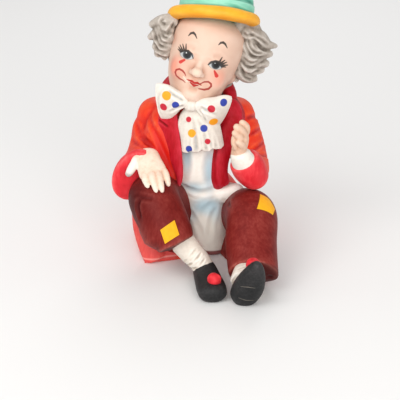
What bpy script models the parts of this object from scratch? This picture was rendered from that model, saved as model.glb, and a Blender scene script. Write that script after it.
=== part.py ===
# Seated clown figurine, slip-cast bisque porcelain, one casting.
# The clown faces -Y, +X is the right-hand side seen from the front, +Z is up.
# Lengths below are in parts of the figure: 142 parts make its full height.

import math

import bmesh
import bpy
import numpy as np
from mathutils import Vector

# Driving sizes
FIGURE_HEIGHT = 0.142
HAT_BRIM_RADIUS = 19.2
HAT_BRIM_ROLL = 3.2
HAT_CROWN_RADIUS = 17.9
HAT_CROWN_HEIGHT = 22.9
HEAD_HALF_WIDTH = 19.2
NOSE_RADIUS = 2.8
HAIR_LOCK_RADIUS = 3.6
BOW_HALF_HEIGHT = 9.4
BOW_THICKNESS = 3.2
JABOT_HALF_WIDTH = 10.4
TORSO_HALF_WIDTH = 18.0
TROUSER_RADIUS = 12.4
SLEEVE_RADIUS = 12.0
FINGER_RADIUS = 2.05
ANKLE_RADIUS = 5.8
SHOE_HALF_WIDTH = 6.6
POMPOM_RADIUS = 3.3
COAT_EDGE = 3.6
CREASE_DEPTH = 1.1

# Fineness of the surface
VOXEL = 0.75
TRIANGLES = 9400
SOLE_CUT = 0.35

UNIT = FIGURE_HEIGHT / 142.0

# The head looks up a little and leans to its left
HEAD_CENTRE = Vector((2.0, -8.2, 102.2))
HEAD_PITCH = math.radians(14.0)
HEAD_LEAN = math.radians(19.5)

# The hat sits level with the eye-line of someone looking down at it
HAT_CENTRE = Vector((6.2, -4.0, 118.8))
HAT_CROWN_SHIFT = 1.5
HAT_BRIM_SHIFT = 0.5
HAT_PITCH = math.radians(22.0)
HAT_LEAN = math.radians(5.5)


def clear_scene():
    for thing in list(bpy.data.objects):
        bpy.data.objects.remove(thing, do_unlink=True)
    for group in list(bpy.data.collections):
        bpy.data.collections.remove(group)


def frame_axes(pitch, lean):
    """Right, front and up of something pitched up, then leaned to +X."""
    up = Vector((0.0, math.sin(pitch), math.cos(pitch)))
    front = Vector((0.0, -math.cos(pitch), math.sin(pitch)))
    right = Vector((1.0, 0.0, 0.0))
    leaned_up = up * math.cos(lean) + right * math.sin(lean)
    leaned_right = right * math.cos(lean) - up * math.sin(lean)
    return leaned_right, front, leaned_up


HEAD_AXES = frame_axes(HEAD_PITCH, HEAD_LEAN)
HAT_AXES = frame_axes(HAT_PITCH, HAT_LEAN)


def on_head(right, front, up):
    side_axis, front_axis, up_axis = HEAD_AXES
    return HEAD_CENTRE + side_axis * right + front_axis * front + up_axis * up


def on_hat(right, front, up):
    side_axis, front_axis, up_axis = HAT_AXES
    return HAT_CENTRE + side_axis * right + front_axis * front + up_axis * up


def between(rows, share):
    """Smooth curve through rows of numbers, share runs from 0 to 1."""
    rows = np.asarray(rows, float)
    last = len(rows) - 1
    place = np.clip(share, 0.0, 1.0) * last
    low = np.minimum(place.astype(int), last - 1)
    t = (place - low)[:, None]
    a = rows[np.maximum(low - 1, 0)]
    b = rows[low]
    c = rows[low + 1]
    d = rows[np.minimum(low + 2, last)]
    bend = 2 * b + (c - a) * t + (2 * a - 5 * b + 4 * c - d) * t ** 2
    return 0.5 * (bend + (3 * b - a - 3 * c + d) * t ** 3)


def unit_rows(vectors):
    return vectors / np.linalg.norm(vectors, axis=1)[:, None]


def form(group, name, rows, side=(1, 0, 0), ends=(0.35, 0.35), outline=None, rings=26, sides=32):
    """Rounded solid along a path. Each row is x, y, z, half width, half depth.

    The width runs along the side direction. The ends say what share of the
    length is spent on rounding each end off.
    """
    bpy.ops.mesh.primitive_uv_sphere_add(segments=sides, ring_count=rings)
    ball = bpy.context.object
    ball.name = name
    for other in ball.users_collection:
        other.objects.unlink(ball)
    group.objects.link(ball)
    count = len(ball.data.vertices)
    sphere = np.empty(count * 3)
    ball.data.vertices.foreach_get("co", sphere)
    sphere = sphere.reshape(count, 3)
    share = np.arccos(np.clip(-sphere[:, 2], -1, 1)) / math.pi
    share = share - 0.8 * np.sin(2 * math.pi * share) / (2 * math.pi)
    angle = np.arctan2(sphere[:, 1], sphere[:, 0])
    section = between(rows, share)
    ahead = between(rows, share + 0.01)[:, :3]
    behind = between(rows, share - 0.01)[:, :3]
    along = unit_rows(ahead - behind)
    reference = np.tile(np.asarray(side, float), (count, 1))
    across = unit_rows(reference - along * (reference * along).sum(1)[:, None])
    depth = np.cross(along, across)
    start = np.clip(share / ends[0], 0, 1)
    finish = np.clip((1 - share) / ends[1], 0, 1)
    taper = np.sqrt(1 - (1 - start) ** 2) * np.sqrt(1 - (1 - finish) ** 2)
    if outline is None:
        across_share = np.cos(angle)
        depth_share = np.sin(angle)
    else:
        loop = np.vstack([outline, outline[:3]])
        turn = (angle / (2 * math.pi)) % 1.0
        first = 1.0 / (len(loop) - 1)
        span = len(outline) / (len(loop) - 1)
        edge = between(loop, first + turn * span * 0.99999)
        across_share = edge[:, 0]
        depth_share = edge[:, 1]
    place = section[:, :3] + across * (across_share * taper * section[:, 3])[:, None]
    place += depth * (depth_share * taper * section[:, 4])[:, None]
    place[:, 2] = np.maximum(place[:, 2], 0.0)
    ball.data.vertices.foreach_set("co", place.reshape(-1) * UNIT)
    ball.data.update()
    return ball


def ball(group, name, centre, radii, axes=None):
    """Ellipsoid with its half sizes along three axes."""
    right, front, up = axes or (Vector((1, 0, 0)), Vector((0, -1, 0)), Vector((0, 0, 1)))
    low = centre - up * radii[2]
    high = centre + up * radii[2]
    rows = [tuple(low) + (radii[0], radii[1]), tuple(high) + (radii[0], radii[1])]
    return form(group, name, rows, side=tuple(right), ends=(0.5, 0.5), rings=16, sides=24)


def hat(group):
    crown = HAT_CROWN_HEIGHT
    profile = [(-1.0, 1.0), (0.25, 1.0), (0.5, 0.955), (0.72, 0.86), (0.88, 0.68), (1.0, 0.5)]
    rows = []
    for height, radius in profile:
        place = on_hat(HAT_CROWN_SHIFT, 0, height * crown if height > 0 else -3.0)
        rows.append(tuple(place) + (HAT_CROWN_RADIUS * radius, HAT_CROWN_RADIUS * radius))
    form(group, "hat crown", rows, side=tuple(HAT_AXES[0]), ends=(0.15, 0.22), rings=32, sides=48)
    bpy.ops.mesh.primitive_torus_add(major_segments=64, minor_segments=20)
    ring = bpy.context.object
    ring.name = "hat brim"
    for other in ring.users_collection:
        other.objects.unlink(ring)
    group.objects.link(ring)
    right, front, up = HAT_AXES
    for vertex in ring.data.vertices:
        angle = math.atan2(vertex.co.y, vertex.co.x)
        out = math.hypot(vertex.co.x, vertex.co.y) - 1.0
        reach = HAT_BRIM_RADIUS + out * 4 * HAT_BRIM_ROLL
        lift = vertex.co.z * 4 * HAT_BRIM_ROLL
        level = HAT_CENTRE + right * (math.cos(angle) * reach + HAT_BRIM_SHIFT) + front * math.sin(angle) * reach
        vertex.co = (level + up * lift) * UNIT


def head(group):
    # height, shift to the side, forward shift, half width and half depth as shares of the widest half width
    profile = [
        (-25.0, 1.0, 6.4, 0.24, 0.24), (-23.0, 1.0, 5.8, 0.42, 0.42), (-19.6, 1.0, 4.6, 0.60, 0.60),
        (-15.5, 1.0, 3.0, 0.71, 0.75), (-11.0, 0.7, 1.4, 0.80, 0.88), (-5.0, 0.6, 0.2, 0.88, 0.97),
        (2.0, 0.4, -0.6, 0.94, 1.01), (9.0, 0.2, -1.0, 0.94, 1.00), (15.0, 0, -1.2, 0.87, 0.91),
        (22.0, 0, -1.5, 0.66, 0.70),
    ]
    rows = []
    for up, aside, forward, wide, deep in profile:
        rows.append(tuple(on_head(aside, forward, up)) + (HEAD_HALF_WIDTH * wide, HEAD_HALF_WIDTH * deep))
    form(group, "head", rows, side=tuple(HEAD_AXES[0]), ends=(0.07, 0.2), rings=40, sides=48)
    ball(group, "nose", on_head(-0.4, 18.6, -9.2), (NOSE_RADIUS, NOSE_RADIUS, NOSE_RADIUS * 0.85), HEAD_AXES)
    bridge = [tuple(on_head(-0.2, 16.4, -1.0)) + (1.6, 2.0), tuple(on_head(-0.4, 18.0, -8.5)) + (2.4, 2.3)]
    form(group, "nose bridge", bridge, side=tuple(HEAD_AXES[0]), rings=12, sides=16)
    ball(group, "lips", on_head(0.2, 16.4, -14.6), (3.2, 1.5, 1.5), HEAD_AXES)
    ball(group, "chin", on_head(0.8, 12.2, -20.2), (5.2, 4.3, 3.6), HEAD_AXES)
    ball(group, "muzzle", on_head(0.6, 10.6, -14.0), (8.6, 6.4, 6.0), HEAD_AXES)
    for aside in (-7.4, 7.9):
        ball(group, "cheek", on_head(aside, 10.0, -9.6), (6.2, 6.3, 6.0), HEAD_AXES)
    ball(group, "jaw", Vector((14.4, -5.5, 91.6)), (4.4, 6.0, 5.0))
    neck = [(-2, -2, 70, 13, 12), (-1, -3, 80, 12, 11.5), (0.5, -4, 87, 11.5, 11), (2, -6, 94, 10.5, 10)]
    form(group, "neck", neck, rings=16, sides=28)


def hair(group):
    """Locks from under the brim: the points of each from root to tip, then its share of size."""
    right_side = [
        ([(18, -8, 117), (23, -9.5, 115), (27, -9.5, 111.4), (29.5, -8.5, 107.6), (32.6, -7.4, 105.4), (37, -6, 105.4)],
         0.95),
        ([(18.5, -10, 114), (20.6, -11.5, 110), (23.6, -12, 106), (27.5, -10.5, 103), (31, -8.5, 101.8),
          (34.8, -6.5, 102.2)], 1.1),
        ([(18.8, -10.5, 109), (20.2, -12.4, 104.6), (23, -12.2, 101), (26.6, -10.5, 98.6), (30, -8.6, 98.2),
          (33.6, -7, 99.2)], 1.1),
        ([(18.4, -10.5, 103.6), (19.8, -12.4, 99.6), (22.6, -12.2, 96.6), (26, -10.6, 94.6), (29.6, -9, 94.6),
          (33, -7.5, 96.6)], 1.05),
        ([(18, -10, 99), (19, -11.8, 95.6), (21.2, -11.6, 92.8), (23.8, -10.4, 90.6), (26.4, -9, 90), (29.2, -8, 91)],
         0.95),
        ([(17.6, -9, 97), (18.2, -10.2, 93.6), (19.8, -10, 91), (22, -9.4, 89.4), (24.6, -8.4, 88.4)], 0.7),
        ([(20, -4, 116), (24, -3, 112), (27, -2, 107), (28, -1, 102), (28.5, 0, 97.5)], 1.1),
        ([(20, -2, 108), (24, -1, 103), (26, 0, 98), (25, 1, 93), (23, 1, 90)], 1.2),
    ]
    left_side = [
        ([(-13, -8, 119.6), (-17.4, -8.4, 119), (-20, -8, 117), (-23.2, -6.6, 115.9)], 0.7),
        ([(-14, -9.6, 119), (-18.4, -9, 117.4), (-21.2, -8, 114.8), (-21, -8, 112), (-23.4, -7, 109.2),
          (-21.4, -8, 106.4), (-20.9, -8, 103.6), (-18.8, -8, 100.4)], 0.68),
        ([(-12.6, -10.8, 118.6), (-15.8, -11, 116.8), (-18.2, -10.5, 114.4), (-17.8, -10.5, 112), (-20.2, -10, 109.2),
          (-18.2, -10.4, 106.4), (-17.4, -10, 103.4), (-15.8, -9.5, 100.4)], 0.68),
        ([(-11.4, -12, 117.4), (-13.6, -12.5, 115.4), (-15, -12.5, 113), (-14.6, -12.6, 111), (-16.4, -12.5, 108.6),
          (-14.8, -12.6, 106), (-14.4, -12, 103.4), (-14.2, -11, 101)], 0.62),
        ([(-14, -4, 118), (-18, -3, 115), (-19.4, -3, 111), (-18.6, -3, 106), (-16, -3, 102)], 1.0),
    ]
    back = []
    for high, low, reach, widest, count in ((13, -8, 18.0, 80, 9), (4, -17, 17.5, 52, 6)):
        for step in range(count):
            turn = math.radians(widest * (2 * step / (count - 1) - 1))
            sway = 2.2 if step % 2 else -2.2
            s, c = math.sin(turn), -math.cos(turn)
            points = []
            for share, out, swing in ((0, -3, 0), (0.25, 0, 1), (0.5, 0.6, -0.6), (0.75, 0.4, -1), (1, 1.2, 0.7)):
                away, side = reach + out, sway * swing
                points.append(on_head(away * s + side * c, away * c - side * s, high + share * (low - high)))
            back.append((points, 1.05))
    for number, (points, size) in enumerate(right_side + left_side + back):
        rows = []
        for step, point in enumerate(points):
            share = step / (len(points) - 1)
            radius = HAIR_LOCK_RADIUS * size * (0.9 + 0.25 * math.sin(math.pi * share))
            radius *= 1 - 0.75 * max(share - 0.55, 0) / 0.45
            rows.append(tuple(point) + (radius, radius * 1.1))
        form(group, f"lock {number}", rows, side=(0, 0, 1), ends=(0.2, 0.12), rings=24, sides=20)
    for number, (centre, radii) in enumerate([((23, -6, 104), (5, 4.6, 10)), ((21, -7, 95), (3.8, 4, 5)),
                                              ((-16.6, -6.5, 110), (4.2, 4.6, 7.6))]):
        ball(group, f"hair mass {number}", Vector(centre), radii)
    nape = [tuple(on_head(0, -7, 14)) + (17.5, 14), tuple(on_head(0, -8, 0)) + (18.5, 14.5),
            tuple(on_head(0, -8, -12)) + (17, 13), tuple(on_head(0, -7, -18)) + (13, 10)]
    form(group, "nape", nape, side=tuple(HEAD_AXES[0]), ends=(0.25, 0.35), rings=20, sides=32)


def bow(group):
    knot = Vector((-4.1, -24.8, 81.4))
    ball(group, "knot", knot, (3.6, 3.2, 2.6))
    high = BOW_HALF_HEIGHT
    thick = BOW_THICKNESS
    left = [
        (-5.5, -24.8, 82.4, 2.0, 2.2), (-9.4, -24.6, 83.2, 0.50 * high, 0.95 * thick),
        (-13.7, -23.4, 83.0, 0.86 * high, 1.1 * thick), (-17.4, -22.0, 82.4, high, thick),
        (-20.4, -20.6, 82.1, 0.98 * high, 0.8 * thick),
    ]
    form(group, "bow left", left, side=(-0.06, -0.12, 1.0), ends=(0.1, 0.07), rings=24, sides=28)
    right = [
        (-2.6, -25.2, 82.2, 2.0, 2.2), (1.8, -25.8, 80.9, 0.50 * high, 0.95 * thick),
        (6.0, -25.6, 79.0, 0.84 * high, 1.1 * thick), (9.2, -24.2, 77.8, high, thick),
        (11.8, -22.4, 76.8, 0.98 * high, 0.8 * thick),
    ]
    form(group, "bow right", right, side=(0.50, -0.05, 0.86), ends=(0.1, 0.07), rings=24, sides=28)
    half = JABOT_HALF_WIDTH
    jabot = [
        (-4.0, -21.6, 81.0, 0.50 * half, 2.6), (-1.6, -22.4, 74.5, 0.92 * half, 3.4),
        (0.4, -24.2, 66.5, 0.98 * half, 3.4), (1.6, -25.4, 58.4, half, 2.8),
    ]
    form(group, "jabot", jabot, side=(1.0, 0.0, 0.26), ends=(0.2, 0.08), rings=28, sides=36)


def torso(group):
    half = TORSO_HALF_WIDTH
    rows = [
        (3, 6, -4, 1.25 * half, 20), (3, 5, 10, 1.26 * half, 20.5), (2, 3, 21, 1.12 * half, 20),
        (0, -1, 32, 0.84 * half, 17.5), (-1.5, -3, 41, 0.84 * half, 16.0), (-2, -3, 52, 0.95 * half, 16.0),
        (-3, -2, 62, 1.16 * half, 16.5), (-3, -1, 71, 1.10 * half, 15.0), (-2, -2, 80, 0.66 * half, 11.0),
    ]
    form(group, "torso", rows, ends=(0.08, 0.14), rings=44, sides=48)
    belly = [(-1.0, -8, 34, 11.5, 12.5), (-1.2, -8, 40, 14, 16), (-0.8, -7.5, 50, 14, 16.2), (-0.6, -7, 62, 13, 15.6),
             (-1.5, -7, 76, 11, 14)]
    form(group, "belly", belly, ends=(0.14, 0.2), rings=28, sides=36)
    lap = [(1.0, -10, 37, 11, 12), (2.6, -9.5, 28, 13, 14.4), (4.4, -9.5, 14, 12, 14.2), (6.0, -8.5, -3, 11, 13)]
    form(group, "lap", lap, ends=(0.2, 0.06), rings=24, sides=32)
    over_thigh = [(4, -14, 33, 6, 6.5), (11, -18, 33.4, 6, 5.5), (17, -20, 35, 4.4, 4.2), (22, -21, 36.2, 2.6, 2.6)]
    form(group, "shirt over the thigh", over_thigh, side=(0, 1, 0), ends=(0.2, 0.2), rings=24, sides=28)


def coat(group):
    front_left = [
        (-12, -6, 79, 7, 11), (-16.0, -8, 69, 9.5, 13.5), (-17.5, -10, 58, 11, 14.5),
        (-17.0, -12, 48, 10.5, 14.0), (-15.5, -13, 40, 8.5, 13.0), (-13.5, -14, 34, 6, 10),
    ]
    form(group, "coat front left", front_left, ends=(0.3, 0.2), rings=32, sides=32)
    front_right = [
        (13, -6, 81, 6, 9), (15, -8, 71, 8.0, 11.5), (12.0, -10, 60, 6.6, 12.5),
        (9.0, -12, 50, 5.2, 12.0), (8.6, -13, 42, 5.0, 11.5), (10.5, -13, 35, 6.0, 10.5),
    ]
    form(group, "coat front right", front_right, ends=(0.3, 0.15), rings=32, sides=32)
    lapel_left = [
        (-15.4, -18.5, 79, 4.0, 1.8), (-15.6, -20.6, 72, 5.2, 1.9), (-14.4, -22.6, 65, 4.9, 1.8),
        (-12.4, -24.2, 57, 3.9, 1.7), (-10.9, -25.2, 50, 2.8, 1.6), (-10.0, -25.6, 43.5, 1.6, 1.4),
        (-10.9, -25.4, 38.5, 0.8, 1.1),
    ]
    form(group, "lapel left", lapel_left, side=(1, -0.35, 0), ends=(0.1, 0.12), rings=28, sides=20)
    lapel_right = [
        (14.6, -11.0, 80, 3.2, 1.6), (17.0, -15.6, 74, 4.2, 1.8), (14.6, -19.8, 64, 5.0, 1.8),
        (11.4, -22.6, 54, 3.6, 1.7), (10.8, -23.4, 45, 3.2, 1.6), (12.4, -22.6, 38.5, 3.8, 1.5),
    ]
    form(group, "lapel right", lapel_right, side=(1, 0.35, 0), ends=(0.1, 0.12), rings=28, sides=20)
    collar = [
        (-15.5, -15, 79, 3.0, 3.0), (-16.5, -5, 83, 3.4, 3.4), (-12, 6, 85, 3.8, 3.8), (-1, 11, 86, 4.0, 4.0),
        (10, 7, 85, 3.8, 3.8), (14.6, -3, 81.5, 3.2, 3.4), (15.4, -11, 78, 2.6, 2.8),
    ]
    form(group, "collar", collar, side=(0, 0, 1), ends=(0.1, 0.1), rings=32, sides=20)
    for name, place in (("shoulder left", (-20.5, 1, 66)), ("shoulder right", (16.5, 1, 66))):
        ball(group, name, Vector(place), (11.5, 12, 11))
    hem = np.array([
        (-28.0, -30.0), (-26.0, -31.0), (-8.0, -26.0), (5.0, -17.5), (16.0, -8.5), (28.0, -8.0), (34.0, 0.0),
        (34.0, 13.0), (26.0, 26.0), (9.0, 32.0), (-12.0, 31.0), (-28.0, 23.0), (-34.0, 9.0), (-32.0, -12.0),
    ]) - np.array([(2.0, 4.0)])
    levels = [
        (-COAT_EDGE, 1.0), (0.2 * COAT_EDGE, 1.0), (COAT_EDGE, 0.99), (COAT_EDGE + 2.5, 0.90), (COAT_EDGE + 6.0, 0.80),
        (COAT_EDGE + 11.0, 0.70), (COAT_EDGE + 17.0, 0.60), (COAT_EDGE + 24.0, 0.47), (COAT_EDGE + 31.0, 0.36),
    ]
    rows = []
    for height, size in levels:
        rows.append((2.0, 4.0 + 0.05 * max(height - COAT_EDGE, 0.0), height, size, size))
    form(group, "coat skirt", rows, ends=(0.02, 0.1), outline=hem, rings=40, sides=72)
    tail = [(-28.6, -21, 40, 4.6, 3), (-28.6, -23, 30, 5.4, 3.4), (-28, -25.4, 19, 5.8, 3.8), (-25.4, -27.6, 9, 5.8, 4),
            (-22, -28.4, 1, 6, 4.2)]
    form(group, "coat tail", tail, side=(1, 0.2, 0), ends=(0.2, 0.05), rings=28, sides=28)


def sleeves(group):
    wide = SLEEVE_RADIUS
    resting = [
        (-19, 2, 67, 0.78 * wide, 0.80 * wide), (-23.0, 1, 61.5, 0.90 * wide, 0.94 * wide),
        (-24.4, -4, 55.5, 0.88 * wide, 0.98 * wide), (-26.8, -13, 50.2, 0.84 * wide, 1.05 * wide),
        (-30.0, -21, 47.2, 0.80 * wide, 1.18 * wide), (-31.6, -28, 45.6, 0.76 * wide, 1.22 * wide),
    ]
    form(group, "sleeve resting", resting, side=(1, 0.25, -0.5), ends=(0.25, 0.05), rings=36, sides=40)
    cuff = [
        (-31.4, -22.5, 47.0, 0.82 * wide, 1.22 * wide), (-32.0, -26, 46.2, 0.85 * wide, 1.28 * wide),
        (-32.6, -30, 45.4, 0.80 * wide, 1.22 * wide),
    ]
    form(group, "cuff resting", cuff, side=(1, 0.25, -0.5), ends=(0.3, 0.25), rings=16, sides=40)
    raised = [
        (16, 2, 69, 0.74 * wide, 0.80 * wide), (19.4, 0, 62.5, 0.84 * wide, 0.92 * wide),
        (22.6, -6, 55.5, 0.80 * wide, 0.86 * wide), (24.8, -14, 50.2, 0.74 * wide, 0.80 * wide),
        (26.8, -22.5, 48.0, 0.62 * wide, 0.74 * wide), (25.0, -30.0, 51.0, 0.60 * wide, 0.66 * wide),
        (21.4, -35.0, 57.5, 0.58 * wide, 0.58 * wide),
    ]
    form(group, "sleeve raised", raised, side=(1, 0, 0), ends=(0.2, 0.1), rings=40, sides=40)
    turned_back = [
        (29.2, -29.5, 42.2, 0.40 * wide, 0.46 * wide), (27.0, -31.0, 46.4, 0.58 * wide, 0.60 * wide),
        (23.6, -33.2, 52.2, 0.68 * wide, 0.66 * wide), (20.2, -35.3, 58.2, 0.60 * wide, 0.56 * wide),
    ]
    form(group, "cuff raised", turned_back, side=(1, 0, 0.6), ends=(0.3, 0.12), rings=24, sides=40)
    linen = [(23.4, -33.2, 52.4, 3.6, 3.4), (22.2, -35.4, 54.6, 6.0, 5.2), (20.2, -37.0, 58.2, 5.6, 5.2),
             (18.9, -37.6, 62.6, 4.5, 4.5)]
    form(group, "linen cuff", linen, ends=(0.3, 0.15), rings=16, sides=28)


def hands(group):
    finger = FINGER_RADIUS
    palm = [(-29.0, -21.5, 55.8, 3.4, 3.0), (-28.0, -26.0, 55.8, 5.0, 3.4), (-25.8, -30.5, 54.8, 6.6, 3.2),
            (-24.0, -34.5, 52.6, 7.0, 2.2)]
    form(group, "palm resting", palm, side=(1, 0.1, 0), ends=(0.2, 0.2), rings=20, sides=28)
    fingers = [
        ((-27.8, -31.0, 52.8), (-27.0, -38.0, 50.4), (-24.9, -44.0, 46.4), 0.92),
        ((-25.2, -32.5, 53.4), (-23.0, -41.0, 50.6), (-20.6, -46.6, 45.0), 0.96),
        ((-22.6, -32.5, 53.4), (-19.9, -40.6, 50.6), (-17.7, -46.2, 44.8), 0.95),
        ((-21.0, -30.5, 53.2), (-17.4, -36.2, 51.0), (-14.6, -41.4, 45.6), 0.92),
        ((-29.0, -25.5, 55.0), (-32.4, -30.0, 52.4), (-35.6, -34.4, 47.8), 1.05),
    ]
    for number, (root, joint, tip, size) in enumerate(fingers):
        rows = [root + (finger * size * 1.1, finger * size * 1.1), joint + (finger * size, finger * size),
                tip + (finger * size * 0.82, finger * size * 0.82)]
        form(group, f"finger resting {number}", rows, ends=(0.2, 0.2), rings=14, sides=14)
    fist = [(18.0, -35.6, 57.6, 3.8, 3.8), (18.6, -37.2, 62.6, 3.8, 4.0), (19.4, -38.4, 68.0, 4.0, 4.2),
            (20.4, -38.6, 72.6, 3.4, 3.8)]
    form(group, "palm raised", fist, ends=(0.2, 0.25), rings=20, sides=24)
    curled = [
        ((21.4, -37.6, 70.6), (21.6, -38.2, 74.6), (18.9, -39.6, 78.0), 1.02),
        ((21.6, -38.6, 69.4), (19.2, -41.0, 74.0), (15.9, -41.4, 76.5), 1.02),
        ((20.6, -39.6, 67.0), (18.2, -42.0, 71.4), (15.2, -42.2, 73.8), 1.0),
        ((17.0, -40.6, 71.6), (16.4, -41.0, 68.0), (17.2, -40.0, 63.6), 0.95),
        ((20.8, -39.4, 64.6), (19.2, -42.2, 67.6), (16.9, -43.2, 69.6), 0.92),
    ]
    for number, (root, joint, tip, size) in enumerate(curled):
        rows = [root + (finger * size, finger * size), joint + (finger * size, finger * size),
                tip + (finger * size * 0.85, finger * size * 0.85)]
        form(group, f"finger raised {number}", rows, side=(0, 1, 0.2), ends=(0.2, 0.2), rings=14, sides=14)


def legs(group):
    round_leg = TROUSER_RADIUS
    tucked = [
        (-8, 2, 15, 1.05 * round_leg, 1.1 * round_leg), (-14.5, -12, 23, 1.05 * round_leg, 1.08 * round_leg),
        (-20.5, -25, 32.5, 1.03 * round_leg, 1.05 * round_leg), (-22.6, -34, 36.5, round_leg, round_leg),
        (-18.8, -42.2, 30.4, 0.99 * round_leg, 0.98 * round_leg), (-14.8, -48.2, 21.8, 0.97 * round_leg, 0.93 * round_leg),
        (-13.0, -50.6, 17.4, 0.95 * round_leg, 0.9 * round_leg),
    ]
    form(group, "trouser tucked", tucked, side=(1, -0.2, 0), ends=(0.15, 0.03), rings=48, sides=40)
    under_tucked = [(-12, -8, -3, 14, 14), (-15, -16, 10, 12, 13), (-17, -24, 22, 9, 10)]
    form(group, "under tucked", under_tucked, ends=(0.08, 0.3), rings=20, sides=32)
    stretched = [
        (15, 3, 15, 0.9 * round_leg, 1.0 * round_leg), (19.4, -12, 20, 0.86 * round_leg, 0.98 * round_leg),
        (23.2, -26, 25.6, 0.94 * round_leg, 1.0 * round_leg), (25.2, -38, 27.8, 1.01 * round_leg, 1.02 * round_leg),
        (24.6, -50, 19.4, 1.0 * round_leg, 0.98 * round_leg), (25.4, -62.8, 9.6, 0.96 * round_leg, 0.97 * round_leg),
    ]
    form(group, "trouser stretched", stretched, ends=(0.15, 0.03), rings=48, sides=40)
    under_stretched = [(20, -8, -3, 14, 14), (24, -26, 6, 10.5, 17), (25, -34, 16, 9, 14)]
    form(group, "under stretched", under_stretched, ends=(0.08, 0.3), rings=20, sides=32)
    heel_rest = [(26, -42, -2, 8.5, 11), (26, -48, 6, 8, 10), (25.5, -50, 12, 7, 8)]
    form(group, "calf rest", heel_rest, ends=(0.08, 0.3), rings=16, sides=24)


def feet(group):
    ankle = ANKLE_RADIUS
    wide = SHOE_HALF_WIDTH
    sock_tucked = [(-10.0, -47, 21, 1.1 * ankle, 1.1 * ankle), (-4.6, -50.0, 15.6, 1.02 * ankle, 1.05 * ankle),
                   (-0.2, -51.5, 11.0, 0.92 * ankle, ankle), (2.4, -52.0, 6.5, 0.9 * ankle, 0.95 * ankle)]
    form(group, "sock tucked", sock_tucked, ends=(0.15, 0.15), rings=24, sides=24)
    shoe_tucked = [
        (1.4, -46.0, 5.5, 0.80 * wide, 4.6), (2.4, -52.6, 6.0, 0.88 * wide, 6.2),
        (4.0, -60.5, 5.0, 1.0 * wide, 5.4), (5.4, -68.0, 4.4, 1.08 * wide, 4.8), (6.4, -76.0, 4.0, 0.96 * wide, 4.4),
    ]
    form(group, "shoe tucked", shoe_tucked, side=(1, 0.15, 0), ends=(0.2, 0.13), rings=28, sides=28)
    ball(group, "pompom tucked", Vector((6.6, -69.0, 9.4)), (POMPOM_RADIUS,) * 3)
    sock_stretched = [(25.5, -58, 12, 1.1 * ankle, 1.1 * ankle), (21.5, -68, 12, 1.05 * ankle, 1.05 * ankle),
                      (19.2, -75, 10, 0.95 * ankle, 0.95 * ankle)]
    form(group, "sock stretched", sock_stretched, ends=(0.15, 0.2), rings=20, sides=24)
    shoe_stretched = [
        (19.0, -74.2, -0.5, 0.74 * wide, 3.8), (20.4, -75.8, 4.6, 1.02 * wide, 4.4), (22.4, -78.0, 10.4, 1.10 * wide, 4.4),
        (24.0, -80.4, 16.0, 0.94 * wide, 3.8), (25.2, -82.4, 21.0, 0.66 * wide, 3.2), (25.8, -84.2, 25.6, 0.26 * wide, 2.2),
    ]
    form(group, "shoe stretched", shoe_stretched, side=(1, 0, -0.35), ends=(0.2, 0.12), rings=28, sides=28)
    ball(group, "pompom stretched", Vector((24.2, -78.6, 22.4)), (POMPOM_RADIUS,) * 3)


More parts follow.
